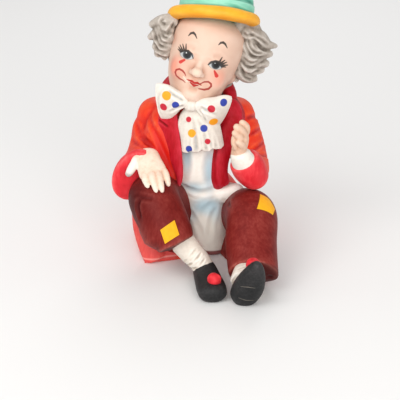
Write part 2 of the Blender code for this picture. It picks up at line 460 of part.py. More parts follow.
def creases():
    """Folds of the cloth and grooves of the face: the points of each, its half width and its depth."""
    deep = CREASE_DEPTH
    lines = [
        # sleeve of the resting arm
        ([(-33.4, -3, 66), (-30.0, -12.7, 62.6), (-26.0, -22.8, 60)], 2.2, 0.9 * deep),
        ([(-35, -8, 59), (-31.7, -16, 58.8), (-26.3, -26, 59.4)], 2.0, 0.7 * deep),
        # sleeve of the raised arm
        ([(23.2, -9.5, 69.6), (27.1, -2.8, 68.7), (30, 3, 66)], 1.8, 0.8 * deep),
        ([(24.6, -13.5, 62.4), (28.5, -9.2, 63.4), (31, -2, 62)], 1.8, 0.9 * deep),
        ([(25.4, -21.6, 57), (29.6, -17.2, 58.0), (33, -8, 57)], 1.8, 0.9 * deep),
        ([(27.6, -30, 58.6), (31, -23.5, 55.3), (34, -16, 52)], 1.8, 0.9 * deep),
        # coat front beside the lapel
        ([(-25.6, -10, 72), (-21.5, -21.9, 65.1), (-16.6, -25.2, 54.4), (-13, -25.3, 43)], 2.0, 0.9 * deep),
        ([(-28, -15, 62.4), (-22.4, -26, 57.8), (-17.2, -25.7, 49.4)], 1.8, 0.7 * deep),
        # belly fold and lap
        ([(-9.5, -19, 33.6), (-2.6, -22, 31.8), (3.8, -23, 33.2), (9, -20, 36)], 1.8, 0.9 * deep),
        ([(-7, -20, 26), (-2.7, -23.6, 19.5), (2, -23.6, 9.3)], 2.2, 0.6 * deep),
        ([(9, -24, 30.1), (5.6, -24.4, 19.8), (3.9, -23.6, 7.6)], 2.2, 0.6 * deep),
        ([(-10, -20, 62), (-6, -23, 50), (-8, -21, 40)], 2.4, 0.5 * deep),
        # trousers
        ([(-28.4, -45.6, 41), (-30.0, -46.4, 37.6), (-28.1, -49.5, 32)], 1.8, 0.8 * deep),
        ([(-34, -26, 30), (-30, -42, 27), (-25, -50, 25)], 2.0, 0.8 * deep),
        ([(13, -32, 34), (17, -42, 33), (19, -50, 29)], 1.9, 0.7 * deep),
        ([(12, -38, 20), (16, -50, 18), (19, -60, 16)], 1.9, 0.8 * deep),
        # back of the coat
        ([(-4, 17, 66), (-3, 19, 44), (-2, 25, 24), (-1, 33, 8)], 2.6, 1.2 * deep),
        ([(-14, 14, 52), (-18, 20, 30), (-22, 29, 8)], 2.6, deep),
        ([(11, 14, 52), (16, 20, 30), (20, 30, 8)], 2.6, deep),
        # pleats of the jabot
        ([(-6, -27, 77), (-7, -28, 68), (-7.6, -28, 57)], 1.3, 0.7 * deep),
        ([(-4.2, -27, 79), (-2.6, -28.4, 68), (-1.6, -28.6, 55)], 1.4, deep),
        ([(-2.8, -27, 78), (2, -28.6, 68), (3.6, -29, 56)], 1.3, 0.8 * deep),
        ([(-1, -27, 77), (6.2, -28.6, 69), (8.4, -28.4, 58)], 1.3, 0.9 * deep),
        # bow beside the knot
        ([(-7.5, -27.4, 84), (-11.6, -27, 86.4), (-15.5, -25.6, 88.8)], 1.2, 0.7 * deep),
        ([(-7.5, -27.4, 81.6), (-11.6, -27.4, 79.8), (-15.6, -26.2, 77.4)], 1.2, 0.7 * deep),
        ([(-0.4, -28.4, 81.4), (3.6, -28.8, 79.6), (8.4, -27.6, 77.4)], 1.2, 0.7 * deep),
        ([(-1, -28.4, 80.6), (1.8, -28.8, 77), (4.6, -27.6, 72.6)], 1.2, 0.7 * deep),
        # crown of the hat
        ([on_hat(-17, 9, 7), on_hat(-8, 18, 6.5), on_hat(8, 18, 6.5), on_hat(17, 9, 7)], 1.2, 0.6 * deep),
        ([on_hat(-2, 18, 12), on_hat(10, 15, 10), on_hat(17, 6, 12)], 2.0, 0.8 * deep),
    ]
    for side in (-1, 1):
        lines.append(([on_head(-0.3 + side * 3.5, 17.4, -0.6), on_head(-0.3 + side * 3.4, 17, -4.6)], 2.0, 0.5 * deep))
        lines.append(([on_head(side * 3.4, 17, -10.8), on_head(side * 5.0, 15.8, -13)], 1.6, 0.3 * deep))
    return lines


def fuse(group, name):
    """One skin over all the forms, with the folds pressed in and the underside cut flat."""
    bpy.ops.object.select_all(action="DESELECT")
    forms = list(group.objects)
    for thing in forms:
        thing.select_set(True)
    bpy.context.view_layer.objects.active = forms[0]
    bpy.ops.object.join()
    figure = bpy.context.object
    figure.name = name
    figure.data.name = name
    skin = figure.modifiers.new("Skin", "REMESH")
    skin.mode = "VOXEL"
    skin.voxel_size = VOXEL * UNIT
    bpy.ops.object.modifier_apply(modifier=skin.name)
    press(figure)
    thin = figure.modifiers.new("Thin", "DECIMATE")
    figure.data.calc_loop_triangles()
    thin.ratio = TRIANGLES / len(figure.data.loop_triangles)
    thin.use_collapse_triangulate = True
    bpy.ops.object.modifier_apply(modifier=thin.name)
    flatten(figure)
    return figure


def press(figure):
    mesh = figure.data
    count = len(mesh.vertices)
    place = np.empty(count * 3)
    normal = np.empty(count * 3)
    mesh.vertices.foreach_get("co", place)
    mesh.vertex_normals.foreach_get("vector", normal)
    place = place.reshape(count, 3) / UNIT
    normal = normal.reshape(count, 3)
    sink = np.zeros(count)
    for points, width, depth in creases():
        path = between([tuple(point) for point in points], np.linspace(0, 1, 25))
        nearest = np.full(count, 1e9)
        for start, stop in zip(path[:-1], path[1:]):
            line = stop - start
            along = np.clip(((place - start) @ line) / (line @ line), 0, 1)
            away = np.linalg.norm(place - start - along[:, None] * line, axis=1)
            nearest = np.minimum(nearest, away)
        reach = np.clip(1 - (nearest / (1.6 * width)) ** 2, 0, 1)
        sink += depth * reach ** 2
    place -= normal * np.minimum(sink, 2.4)[:, None]
    mesh.vertices.foreach_set("co", (place * UNIT).reshape(-1))
    mesh.update()


def keep_largest(work):
    """Drop the specks that the skin leaves where two forms almost touch."""
    left = set(work.verts)
    islands = []
    while left:
        island = {left.pop()}
        front = list(island)
        while front:
            vertex = front.pop()
            for edge in vertex.link_edges:
                other = edge.other_vert(vertex)
                if other in left:
                    left.remove(other)
                    island.add(other)
                    front.append(other)
        islands.append(island)
    islands.sort(key=len)
    for island in islands[:-1]:
        bmesh.ops.delete(work, geom=list(island), context="VERTS")


def flatten(figure):
    """Cut the underside level and stand it at Z = 0."""
    work = bmesh.new()
    work.from_mesh(figure.data)
    geometry = work.verts[:] + work.edges[:] + work.faces[:]
    height = SOLE_CUT * UNIT
    bmesh.ops.bisect_plane(
        work, geom=geometry, dist=1e-7, plane_co=(0, 0, height), plane_no=(0, 0, 1), clear_inner=True,
    )
    rim = [edge for edge in work.edges if edge.is_boundary]
    bmesh.ops.holes_fill(work, edges=rim, sides=0)
    bmesh.ops.triangulate(work, faces=[face for face in work.faces if len(face.verts) > 3])
    bmesh.ops.dissolve_degenerate(work, dist=1e-6, edges=work.edges[:])
    keep_largest(work)
    bmesh.ops.recalc_face_normals(work, faces=work.faces[:])
    bmesh.ops.translate(work, vec=(0, 0, -height), verts=work.verts[:])
    work.to_mesh(figure.data)
    work.free()
    figure.data.update()


def bisque():
    material = bpy.data.materials.new("painted_bisque")
    material.use_nodes = True
    shader = material.node_tree.nodes["Principled BSDF"]
    shader.inputs["Base Color"].default_value = (0.80, 0.34, 0.22, 1.0)
    shader.inputs["Roughness"].default_value = 0.6
    return material


def build():
    clear_scene()
    group = bpy.data.collections.new("clown_figurine")
    bpy.context.scene.collection.children.link(group)
    hat(group)
    head(group)
    hair(group)
    bow(group)
    torso(group)
    coat(group)
    sleeves(group)
    hands(group)
    legs(group)
    feet(group)
    figure = fuse(group, "clown_figurine")
    figure.data.materials.clear()
    figure.data.materials.append(bisque())
    figure.data.polygons.foreach_set("use_smooth", [True] * len(figure.data.polygons))


build()
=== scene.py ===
# Seated clown figurine in hand-painted bisque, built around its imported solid.
# Sizes in the tables are millimetres before the underside is cut level.
import math

import bmesh
import bpy
import numpy as np
from mathutils import Matrix, Vector


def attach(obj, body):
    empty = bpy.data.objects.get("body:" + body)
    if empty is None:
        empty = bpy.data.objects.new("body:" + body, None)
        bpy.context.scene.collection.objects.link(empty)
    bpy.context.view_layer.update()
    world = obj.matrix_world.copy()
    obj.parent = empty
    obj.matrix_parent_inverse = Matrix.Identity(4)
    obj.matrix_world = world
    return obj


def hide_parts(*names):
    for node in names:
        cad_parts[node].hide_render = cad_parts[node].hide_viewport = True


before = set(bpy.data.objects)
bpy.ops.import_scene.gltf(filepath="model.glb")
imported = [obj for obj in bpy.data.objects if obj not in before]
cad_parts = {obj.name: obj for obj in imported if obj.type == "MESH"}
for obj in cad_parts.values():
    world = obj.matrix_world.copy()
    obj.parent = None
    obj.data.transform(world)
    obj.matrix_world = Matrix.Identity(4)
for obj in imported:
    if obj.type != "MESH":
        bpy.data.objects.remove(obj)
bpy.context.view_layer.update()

mm = 0.001
soleCut = 0.35  # how much of the underside is cut away, as on the solid
bodyName = "root"
solidName = "clown_figurine"


def tiltedAxes(pitch, lean):
    # right, front and up of something pitched up and leaned to +X, in degrees
    pitch, lean = math.radians(pitch), math.radians(lean)
    right = Vector((1.0, 0.0, 0.0))
    front = Vector((0.0, -math.cos(pitch), math.sin(pitch)))
    up = Vector((0.0, math.sin(pitch), math.cos(pitch)))
    leanedRight = right * math.cos(lean) - up * math.sin(lean)
    leanedUp = up * math.cos(lean) + right * math.sin(lean)
    return leanedRight, front, leanedUp


# the head looks up a little and leans; the hat sits more level on it
headCentre = Vector((2.0, -8.2, 102.2))
headAxes = tiltedAxes(14.0, 19.5)
hatCentre = Vector((6.2, -4.0, 118.8))
hatAxes = tiltedAxes(22.0, 5.5)


def headAt(right, front, up):
    return headCentre + headAxes[0] * right + headAxes[1] * front + headAxes[2] * up


def hatAt(right, front, up):
    return hatCentre + hatAxes[0] * right + hatAxes[1] * front + hatAxes[2] * up


def betweenRows(rows, share):
    # a smooth curve through rows of numbers
    rows = np.asarray([tuple(row) for row in rows], float)
    last = len(rows) - 1
    place = np.clip(share, 0.0, 1.0) * last
    low = np.minimum(place.astype(int), last - 1)
    t = (place - low)[:, None]
    a, b = rows[np.maximum(low - 1, 0)], rows[low]
    c, d = rows[low + 1], rows[np.minimum(low + 2, last)]
    bend = 2 * b + (c - a) * t + (2 * a - 5 * b + 4 * c - d) * t ** 2
    return 0.5 * (bend + (3 * b - a - 3 * c + d) * t ** 3)


def unitRows(vectors):
    return vectors / np.linalg.norm(vectors, axis=1)[:, None]


def loft(rows, side=(1, 0, 0), ends=(0.35, 0.35), outline=None, rings=26, sides=32):
    # a round-ended solid along a path: each row is x, y, z, half width and half depth
    shape = bmesh.new()
    bmesh.ops.create_uvsphere(shape, u_segments=sides, v_segments=rings, radius=1.0)
    sphere = np.array([vert.co for vert in shape.verts])
    count = len(sphere)
    share = np.arccos(np.clip(-sphere[:, 2], -1, 1)) / math.pi
    share = share - 0.8 * np.sin(2 * math.pi * share) / (2 * math.pi)
    angle = np.arctan2(sphere[:, 1], sphere[:, 0])
    section = betweenRows(rows, share)
    along = unitRows(betweenRows(rows, share + 0.01)[:, :3] - betweenRows(rows, share - 0.01)[:, :3])
    reference = np.tile(np.asarray(tuple(side), float), (count, 1))
    across = unitRows(reference - along * (reference * along).sum(1)[:, None])
    depth = np.cross(along, across)
    start = np.clip(share / ends[0], 0, 1)
    finish = np.clip((1 - share) / ends[1], 0, 1)
    taper = np.sqrt(1 - (1 - start) ** 2) * np.sqrt(1 - (1 - finish) ** 2)
    if outline is None:
        acrossShare, depthShare = np.cos(angle), np.sin(angle)
    else:
        loop = np.vstack([outline, outline[:3]])
        turn = (angle / (2 * math.pi)) % 1.0
        edge = betweenRows(loop, (1 + turn * len(outline) * 0.99999) / (len(loop) - 1))
        acrossShare, depthShare = edge[:, 0], edge[:, 1]
    place = section[:, :3] + across * (acrossShare * taper * section[:, 3])[:, None]
    place += depth * (depthShare * taper * section[:, 4])[:, None]
    place[:, 2] = np.maximum(place[:, 2] - soleCut, 0.0)
    for vert, spot in zip(shape.verts, place):
        vert.co = spot * mm
    bmesh.ops.recalc_face_normals(shape, faces=shape.faces[:])
    return shape


def egg(centre, radii, axes=None):
    # an ellipsoid with its half sizes along right, front and up
    right, front, up = axes or (Vector((1, 0, 0)), Vector((0, -1, 0)), Vector((0, 0, 1)))
    low = tuple(centre - up * radii[2]) + (radii[0], radii[1])
    high = tuple(centre + up * radii[2]) + (radii[0], radii[1])
    return loft([low, high], side=right, ends=(0.5, 0.5), rings=24, sides=32)


def turned(profile, steps, centre, axes):
    # a profile of radius and height, spun round the up axis
    shape = bmesh.new()
    verts = [shape.verts.new((radius, 0, height)) for radius, height in profile]
    edges = [shape.edges.new(pair) for pair in zip(verts, verts[1:])]
    bmesh.ops.spin(shape, geom=verts + edges, cent=(0, 0, 0), axis=(0, 0, 1), angle=2 * math.pi,
                   steps=steps, use_merge=True)
    bmesh.ops.remove_doubles(shape, verts=shape.verts[:], dist=1e-4)
    right, front, up = axes
    turn = Matrix((right, front, up)).transposed().to_4x4()
    bmesh.ops.transform(shape, matrix=Matrix.Translation(centre) @ turn, verts=shape.verts[:])
    bmesh.ops.translate(shape, vec=(0, 0, -soleCut), verts=shape.verts[:])
    bmesh.ops.scale(shape, vec=(mm, mm, mm), verts=shape.verts[:])
    bmesh.ops.recalc_face_normals(shape, faces=shape.faces[:])
    return shape


def readMesh(piece):
    mesh = piece.data
    count = len(mesh.vertices)
    place, normal = np.empty(count * 3), np.empty(count * 3)
    mesh.vertices.foreach_get("co", place)
    mesh.vertex_normals.foreach_get("vector", normal)
    place = place.reshape(count, 3) / mm
    place[:, 2] += soleCut
    return place, normal.reshape(count, 3)


def writeMesh(piece, place):
    place = place.copy()
    place[:, 2] = np.maximum(place[:, 2] - soleCut, 0.0)
    piece.data.vertices.foreach_set("co", (place * mm).reshape(-1))
    piece.data.update()


def clay(name, forms, voxel=None, smoothing=0):
    # the forms as one piece, joined under one skin when a voxel size is given
    whole = bmesh.new()
    for form in forms:
        part = bpy.data.meshes.new(name)
        form.to_mesh(part)
        form.free()
        whole.from_mesh(part)
        bpy.data.meshes.remove(part)
    mesh = bpy.data.meshes.new(name)
    whole.to_mesh(mesh)
    whole.free()
    piece = bpy.data.objects.new(name, mesh)
    bpy.context.scene.collection.objects.link(piece)
    if voxel:
        skin = piece.modifiers.new("Skin", "REMESH")
        skin.mode = "VOXEL"
        skin.voxel_size = voxel * mm
    if smoothing:
        sand = piece.modifiers.new("Sand", "SMOOTH")
        sand.factor = 0.5
        sand.iterations = smoothing
    if voxel or smoothing:
        graph = bpy.context.evaluated_depsgraph_get()
        made = bpy.data.meshes.new_from_object(piece.evaluated_get(graph))
        piece.modifiers.clear()
        piece.data = made
        made.name = name
        bpy.data.meshes.remove(mesh)
    return piece


def pressLines(piece, lines, facing=None):
    # folds along curves: the points of each, its half width and its depth, with a small lip beside it;
    # with a facing direction they are pressed straight on, like a comb, into what faces it
    place, normal = readMesh(piece)
    skin = place
    front = np.ones(len(place))
    if facing is not None:
        facing = np.array(facing) / np.linalg.norm(facing)
        front = np.clip(normal @ facing * 2.0, 0, 1)
        place = place - np.outer(place @ facing, facing)
    shift = np.zeros(len(place))
    pieces = 28  # straight stretches that a curve is followed in
    lipHeight, lipPlace, lipWidth = 0.3, 1.7, 0.6
    proudest, deepest = -1.5, 2.6
    for points, width, depth in lines:
        path = betweenRows(points, np.linspace(0, 1, pieces + 1))
        if facing is not None:
            path = path - np.outer(path @ facing, facing)
        reach = 3.0 * width
        near = np.nonzero(((place > path.min(0) - reach) & (place < path.max(0) + reach)).all(1))[0]
        if len(near) == 0:
            continue
        spot = place[near]
        best = np.full(len(near), 1e9)
        share = np.zeros(len(near))
        for number in range(pieces):
            line = path[number + 1] - path[number]
            along = np.clip(((spot - path[number]) @ line) / (line @ line), 0, 1)
            away = np.linalg.norm(spot - path[number] - along[:, None] * line, axis=1)
            share = np.where(away < best, (number + along) / pieces, share)
            best = np.minimum(away, best)
        fade = np.clip(np.sin(math.pi * np.clip(share, 0.03, 0.97)) * 1.7, 0, 1)
        away = best / width
        lip = lipHeight * np.exp(-((away - lipPlace) / lipWidth) ** 2)
        shift[near] += depth * fade * (np.exp(-away ** 2) - lip)
    writeMesh(piece, skin - normal * (front * np.clip(shift, proudest, deepest))[:, None])


def roughen(piece, size, height, seed=0.0):
    # a slow, soft unevenness, as in pressed clay
    place, normal = readMesh(piece)
    x, y, z = (place / size + seed).T
    wave = np.sin(x * 2.1 + np.sin(y * 1.7))
    wave += np.sin(y * 2.3 + np.sin(z * 1.9))
    wave += np.sin(z * 2.0 + np.sin(x * 1.5))
    writeMesh(piece, place + normal * (height * wave / 3)[:, None])


def markFolds(piece, steps=14, depth=0.35):
    # how hollow or proud each spot is, kept on the mesh for the paint
    place, normal = readMesh(piece)
    count = len(place)
    edges = np.empty(len(piece.data.edges) * 2, int)
    piece.data.edges.foreach_get("vertices", edges)
    one, two = edges.reshape(-1, 2).T
    ends, others = np.concatenate([one, two]), np.concatenate([two, one])
    links = np.maximum(np.bincount(ends, minlength=count), 1)
    soft = place.copy()
    for _ in range(steps):
        soft = np.stack([np.bincount(ends, soft[others, axis], count) / links for axis in range(3)], 1)
    hollow = ((soft - place) * normal).sum(1)
    folds = piece.data.attributes.new("fold", "FLOAT", "POINT")
    folds.data.foreach_set("value", np.clip(-hollow / depth, -1, 1).astype(np.float32))


def keepPiece(piece, paint):
    piece.data.materials.clear()
    piece.data.materials.append(paint)
    piece.data.polygons.foreach_set("use_smooth", [True] * len(piece.data.polygons))
    piece.data.update()
    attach(piece, bodyName)
    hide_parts(solidName)
    piece.data.calc_loop_triangles()
    print(piece.name, len(piece.data.loop_triangles), "triangles")


def colour(code):
    # a paint colour, written as it looks
    parts = [int(code[spot:spot + 2], 16) / 255 for spot in (0, 2, 4)]
    linear = [part / 12.92 if part <= 0.04045 else ((part + 0.055) / 1.055) ** 2.4 for part in parts]
    return tuple(linear) + (1.0,)


bisque = {"bump": 0.35, "tooth": 0.12, "unevenness": 0.22}  # the tooth is in millimetres


class Signal:  # a node's output that sums can be written with
    def __init__(self, paint, socket):
        self.paint = paint
        self.socket = socket

    def maths(self, operation, *others, clamp=False):
        inputs = dict(enumerate((self,) + others))
        return self.paint.node("ShaderNodeMath", {"operation": operation, "use_clamp": clamp}, inputs)

    def __add__(self, other):
        return self.maths("ADD", other)

    def __sub__(self, other):
        return self.maths("SUBTRACT", other)

    def __mul__(self, other):
        return self.maths("MULTIPLY", other)

    def rise(self):
        # the height of a spot
        return self.paint.vector("DOT_PRODUCT", self, (0, 0, 1), output="Value")

    def least(self, other):
        return self.maths("MINIMUM", other)

    def most(self, other):
        return self.maths("MAXIMUM", other)

    def size(self):
        return self.maths("ABSOLUTE")


class Paint:
    def __init__(self, name):
        self.material = bpy.data.materials.new(name)
        self.material.use_nodes = True
        self.tree = self.material.node_tree
        self.shader = self.tree.nodes["Principled BSDF"]
        metres = self.node("ShaderNodeTexCoord", output="Object")
        self.spot = self.vector("MULTIPLY_ADD", metres, (1000, 1000, 1000), (0, 0, soleCut))

    def node(self, kind, settings=None, inputs=None, output=0):
        made = self.tree.nodes.new(kind)
        for key, value in (settings or {}).items():
            if key == "stops":
                for spare in list(made.color_ramp.elements)[1:]:
                    made.color_ramp.elements.remove(spare)
                for number, (place, shade) in enumerate(value):
                    stop = made.color_ramp.elements[0] if number == 0 else made.color_ramp.elements.new(place)
                    stop.position = place
                    stop.color = shade
            else:
                setattr(made, key, value)
        for key, value in (inputs or {}).items():
            if isinstance(value, Signal):
                self.tree.links.new(value.socket, made.inputs[key])
            else:
                made.inputs[key].default_value = value
        return Signal(self, made.outputs[output])

    def vector(self, operation, *inputs, output=0):
        return self.node("ShaderNodeVectorMath", {"operation": operation}, dict(enumerate(inputs)), output)

    def along(self, axis, centre=(0, 0, 0)):
        # how far a spot lies along an axis from a centre
        reach = self.vector("DOT_PRODUCT", self.spot, tuple(axis), output="Value")
        return reach - Vector(axis).dot(Vector(centre))

    def ease(self, value, low, high):
        limits = {0: value, 1: low, 2: high, 3: 0.0, 4: 1.0}
        if low > high:
            limits = {0: value, 1: high, 2: low, 3: 1.0, 4: 0.0}
        return self.node("ShaderNodeMapRange", {"interpolation_type": "SMOOTHSTEP"}, limits)

    def blend(self, share, first, second):
        inputs = {0: share, 6: first, 7: second}
        return self.node("ShaderNodeMix", {"data_type": "RGBA"}, inputs, output=2)

    def noise(self, size, detail=3.0, stretch=(1, 1, 1), roughness=0.55, twist=0.0):
        # soft noise whose blots are about this many millimetres across
        scale = tuple(1.0 / (size * part) for part in stretch)
        spot = self.vector("MULTIPLY", self.spot, scale)
        inputs = {"Vector": spot, "Scale": 1.0, "Detail": detail, "Roughness": roughness, "Distortion": twist}
        return self.node("ShaderNodeTexNoise", {}, inputs)

    def specks(self, size, radius):
        # scattered dots of paint
        spot = self.vector("MULTIPLY", self.spot, (1 / size,) * 3)
        away = self.node("ShaderNodeTexVoronoi", {}, {"Vector": spot, "Scale": 1.0})
        return self.ease(away, radius / size, radius / size * 0.5)

    def blot(self, centre, inner, outer, stretch=(1, 1, 1)):
        # a soft patch round a spot, used for airbrushed paint and for painted light and shade
        offset = self.vector("SUBTRACT", self.spot, tuple(centre))
        offset = self.vector("DIVIDE", offset, tuple(stretch))
        return self.ease(self.vector("LENGTH", offset, output="Value"), outer, inner)

    def dot(self, centre, radius):
        # a round dab of paint on the surface round a spot
        away = self.vector("DISTANCE", self.spot, tuple(centre), output="Value")
        return self.ease(away, radius + 0.15, radius - 0.15)

    def flat(self, right, up, centre):
        # spots laid flat on a plane, as x and y
        inputs = {0: self.along(right, centre), 1: self.along(up, centre)}
        return self.node("ShaderNodeCombineXYZ", {}, inputs)

    def stroke(self, plane, points):
        # how far outside a brush stroke given as x, y and half width at each point
        nearest = None
        for start, end in zip(points, points[1:]):
            first, line = Vector(start[:2] + (0,)), Vector((end[0] - start[0], end[1] - start[1], 0))
            reach = line / line.length_squared
            share = self.vector("DOT_PRODUCT", plane, tuple(reach), output="Value")
            share = share.maths("SUBTRACT", first.dot(reach), clamp=True)
            along = self.node("ShaderNodeCombineXYZ", {}, {0: share, 1: share})
            middle = self.vector("MULTIPLY_ADD", along, tuple(line), tuple(first))
            away = self.vector("DISTANCE", plane, middle, output="Value")
            away = away - (share * (end[2] - start[2]) + start[2])
            nearest = away if nearest is None else nearest.least(away)
        return nearest

    def oval(self, plane, centre, radii, tilt=0.0):
        # one at the rim of a tilted oval, less inside it
        settings = {"vector_type": "TEXTURE"}
        inputs = {"Vector": plane, "Location": tuple(centre) + (0,), "Rotation": (0, 0, tilt),
                  "Scale": tuple(radii) + (1,)}
        return self.vector("LENGTH", self.node("ShaderNodeMapping", settings, inputs), output="Value")

    def patch(self, corners, depth=5.0):
        # how far outside a straight-sided patch
        corners = [Vector(corner) for corner in corners]
        middle = sum(corners, Vector()) / len(corners)
        facing = (corners[2] - corners[0]).cross(corners[3] - corners[1]).normalized()
        outside = self.along(facing, middle).size() - depth
        for one, two in zip(corners, corners[1:] + corners[:1]):
            edge = (two - one).cross(facing).normalized()
            if edge.dot(middle - one) > 0:
                edge = -edge
            outside = outside.most(self.along(edge, one))
        return outside

    def folds(self):
        return self.node("ShaderNodeAttribute", {"attribute_name": "fold"}, output="Fac")

    def ramp(self, value, stops):
        return self.node("ShaderNodeValToRGB", {"stops": stops}, {0: value})

    def finish(self, tone, roughness=0.5, gloss=0.35, strokes=None):
        # bisque tooth under thin paint, with the brush strokes on top
        height = self.noise(1.6, 2.0) * 0.5 + self.noise(0.32, 2.0, roughness=0.6) * 0.35
        if strokes is not None:
            height = height + strokes * 0.6
        inputs = {"Strength": bisque["bump"], "Distance": bisque["tooth"] * mm, "Height": height}
        bump = self.node("ShaderNodeBump", {}, inputs)
        rough = self.noise(3.0, 3.0) * bisque["unevenness"] + (roughness - bisque["unevenness"] / 2)
        for key, value in {"Base Color": tone, "Normal": bump, "Roughness": rough}.items():
            self.tree.links.new(value.socket, self.shader.inputs[key])
        self.shader.inputs["Specular IOR Level"].default_value = gloss
        return self.material


def shadedWash(name, tones, streak=(1, 1, 1), streakSize=1.6, speck=None, spread=0.36):
    # paint darker in the folds and lighter on the ridges, partly the piece's own airbrushed wash and partly
    # painted shade and painted highlight, and showing the brush;
    # its five tones go from the darkest to the lightest
    paint = Paint(name)
    folds = paint.folds()
    cloud = paint.noise(9.0, 2.0)
    brush = paint.noise(streakSize, 3.0, stretch=streak, twist=0.3)
    # the fold term is painted shade in the hollows and painted highlight on the ridges
    level = folds * spread + (cloud - 0.5) * 0.5 + (brush - 0.5) * 0.42 + 0.5
    places = [0.0, 0.3, 0.55, 0.78, 1.0]
    tone = paint.ramp(level, [(place, colour(code)) for place, code in zip(places, tones.split())])
    if speck:
        dots = paint.specks(5.0, 0.16) * paint.ease(paint.noise(7.0, 1.0), 0.5, 0.62)
        tone = paint.blend(dots * 0.8, tone, colour(speck))
    return paint, tone, brush


def keepShadedWash(piece, name, tones, roughness=0.5, gloss=0.35, **wash):
    # a piece whose wash, with its painted shade and highlight, needs nothing more on it
    paint, tone, brush = shadedWash(name, tones, **wash)
    keepPiece(piece, paint.finish(tone, roughness, gloss, brush))


hatSettings = {
    "crownRadius": 17.7, "crownHeight": 22.9, "crownShift": 1.5,
    "brimRadius": 19.2, "brimRoll": 3.2, "brimShift": 0.5,
    "bandHeight": 7.2, "bandLift": 0.55,
    "crownTones": "2E7A66 4FA58C 66BBA0 86CFB6 A6E0CB", "bandTone": "8FDCC0",
    "brimTones": "B4640C E08E14 F2A41E F8B52E FCC650",
}


def makeHat():
    tall = hatSettings["crownHeight"]
    radius = hatSettings["crownRadius"]
    outline = [(0.0, -2.0), (radius, -2.0), (radius, 0.25 * tall), (0.965 * radius, 0.5 * tall),
               (0.87 * radius, 0.73 * tall), (0.68 * radius, 0.89 * tall), (0.40 * radius, 0.975 * tall),
               (0.0, tall)]
    fine = betweenRows(outline[1:], np.linspace(0, 1, 90))
    profile = [(0.0, -2.0)]
    for across, height in fine:
        band = 1 - np.clip((height - hatSettings["bandHeight"]) / 0.5, 0, 1)
        profile.append((max(across + band * hatSettings["bandLift"], 0.0), height))
    crown = clay("hat_crown", [turned(profile, 220, hatAt(hatSettings["crownShift"], 0, 0), hatAxes)])
    pressLines(crown, [
        ([hatAt(-20, 2, 12), hatAt(-8, 18, 15), hatAt(8, 18, 12), hatAt(19, 6, 8.6)], 1.5, 0.35),
        ([hatAt(-20, 4, 3.0), hatAt(-8, 18, 4.2), hatAt(6, 19, 4.4), hatAt(18, 9, 2.4)], 0.8, 0.3),
        ([hatAt(-4, 19, 18), hatAt(8, 15, 15), hatAt(17, 6, 12)], 1.4, 0.4),
        ([hatAt(20, -6, 14), hatAt(8, -18, 17), hatAt(-8, -18, 14), hatAt(-19, -6, 11)], 1.8, 0.4),
    ])
    roughen(crown, 9.0, 0.18)
    markFolds(crown, 20, 0.22)
    roll = hatSettings["brimRoll"]
    ring = []
    for step in range(41):
        angle = 2 * math.pi * step / 40
        ring.append((hatSettings["brimRadius"] + roll * math.cos(angle), roll * 0.98 * math.sin(angle)))
    brim = clay("hat_brim", [turned(ring, 200, hatAt(hatSettings["brimShift"], 0, 0), hatAxes)])
    roughen(brim, 7.0, 0.3, 2.0)
    markFolds(brim, 20, 0.4)

    bandHeight = hatSettings["bandHeight"]
    teals = hatSettings["crownTones"]
    paint, tone, brush = shadedWash("hat teal", teals, streak=(5, 5, 0.8), streakSize=1.3, spread=0.5)
    height = paint.along(hatAxes[2], hatCentre)
    band = paint.ease(height, bandHeight + 0.2, bandHeight - 0.2)
    tone = paint.blend(band * 0.35, tone, colour(hatSettings["bandTone"]))
    seam = paint.ease((height - bandHeight).size(), 0.55, 0.1)
    tone = paint.blend(seam * 0.5, tone, colour("2F7D68"))
    # painted shade: the crown's foot just above the brim is dark green
    shadeAboveBrim = paint.ease(height, 4.3, 2.6)
    tone = paint.blend(shadeAboveBrim * 0.85, tone, colour("3C6B42"))
    keepPiece(crown, paint.finish(tone, strokes=brush))

    yellows = hatSettings["brimTones"]
    paint, tone, brush = shadedWash("hat brim yellow", yellows, streak=(4, 4, 1), spread=0.2)
    # painted shade on the brim's underside
    brimUnderShade = paint.ease(paint.along(hatAxes[2], hatCentre), -0.6, -3.2)
    tone = paint.blend(brimUnderShade * 0.55, tone, colour("B5660E"))
    keepPiece(brim, paint.finish(tone, 0.45, strokes=brush))
    print("hat made")


headSettings = {
    "halfWidth": 19.2, "noseRadius": 2.5, "baseVoxel": 0.6, "voxel": 0.4,
    "skinTones": "B07A64 D0A48E E0BEAA E9CDBC F1DCCE", "mouthLine": "9E2A24", "lips": "B3231F",
    "tears": "C8342E", "lashes": "2A2624",
}


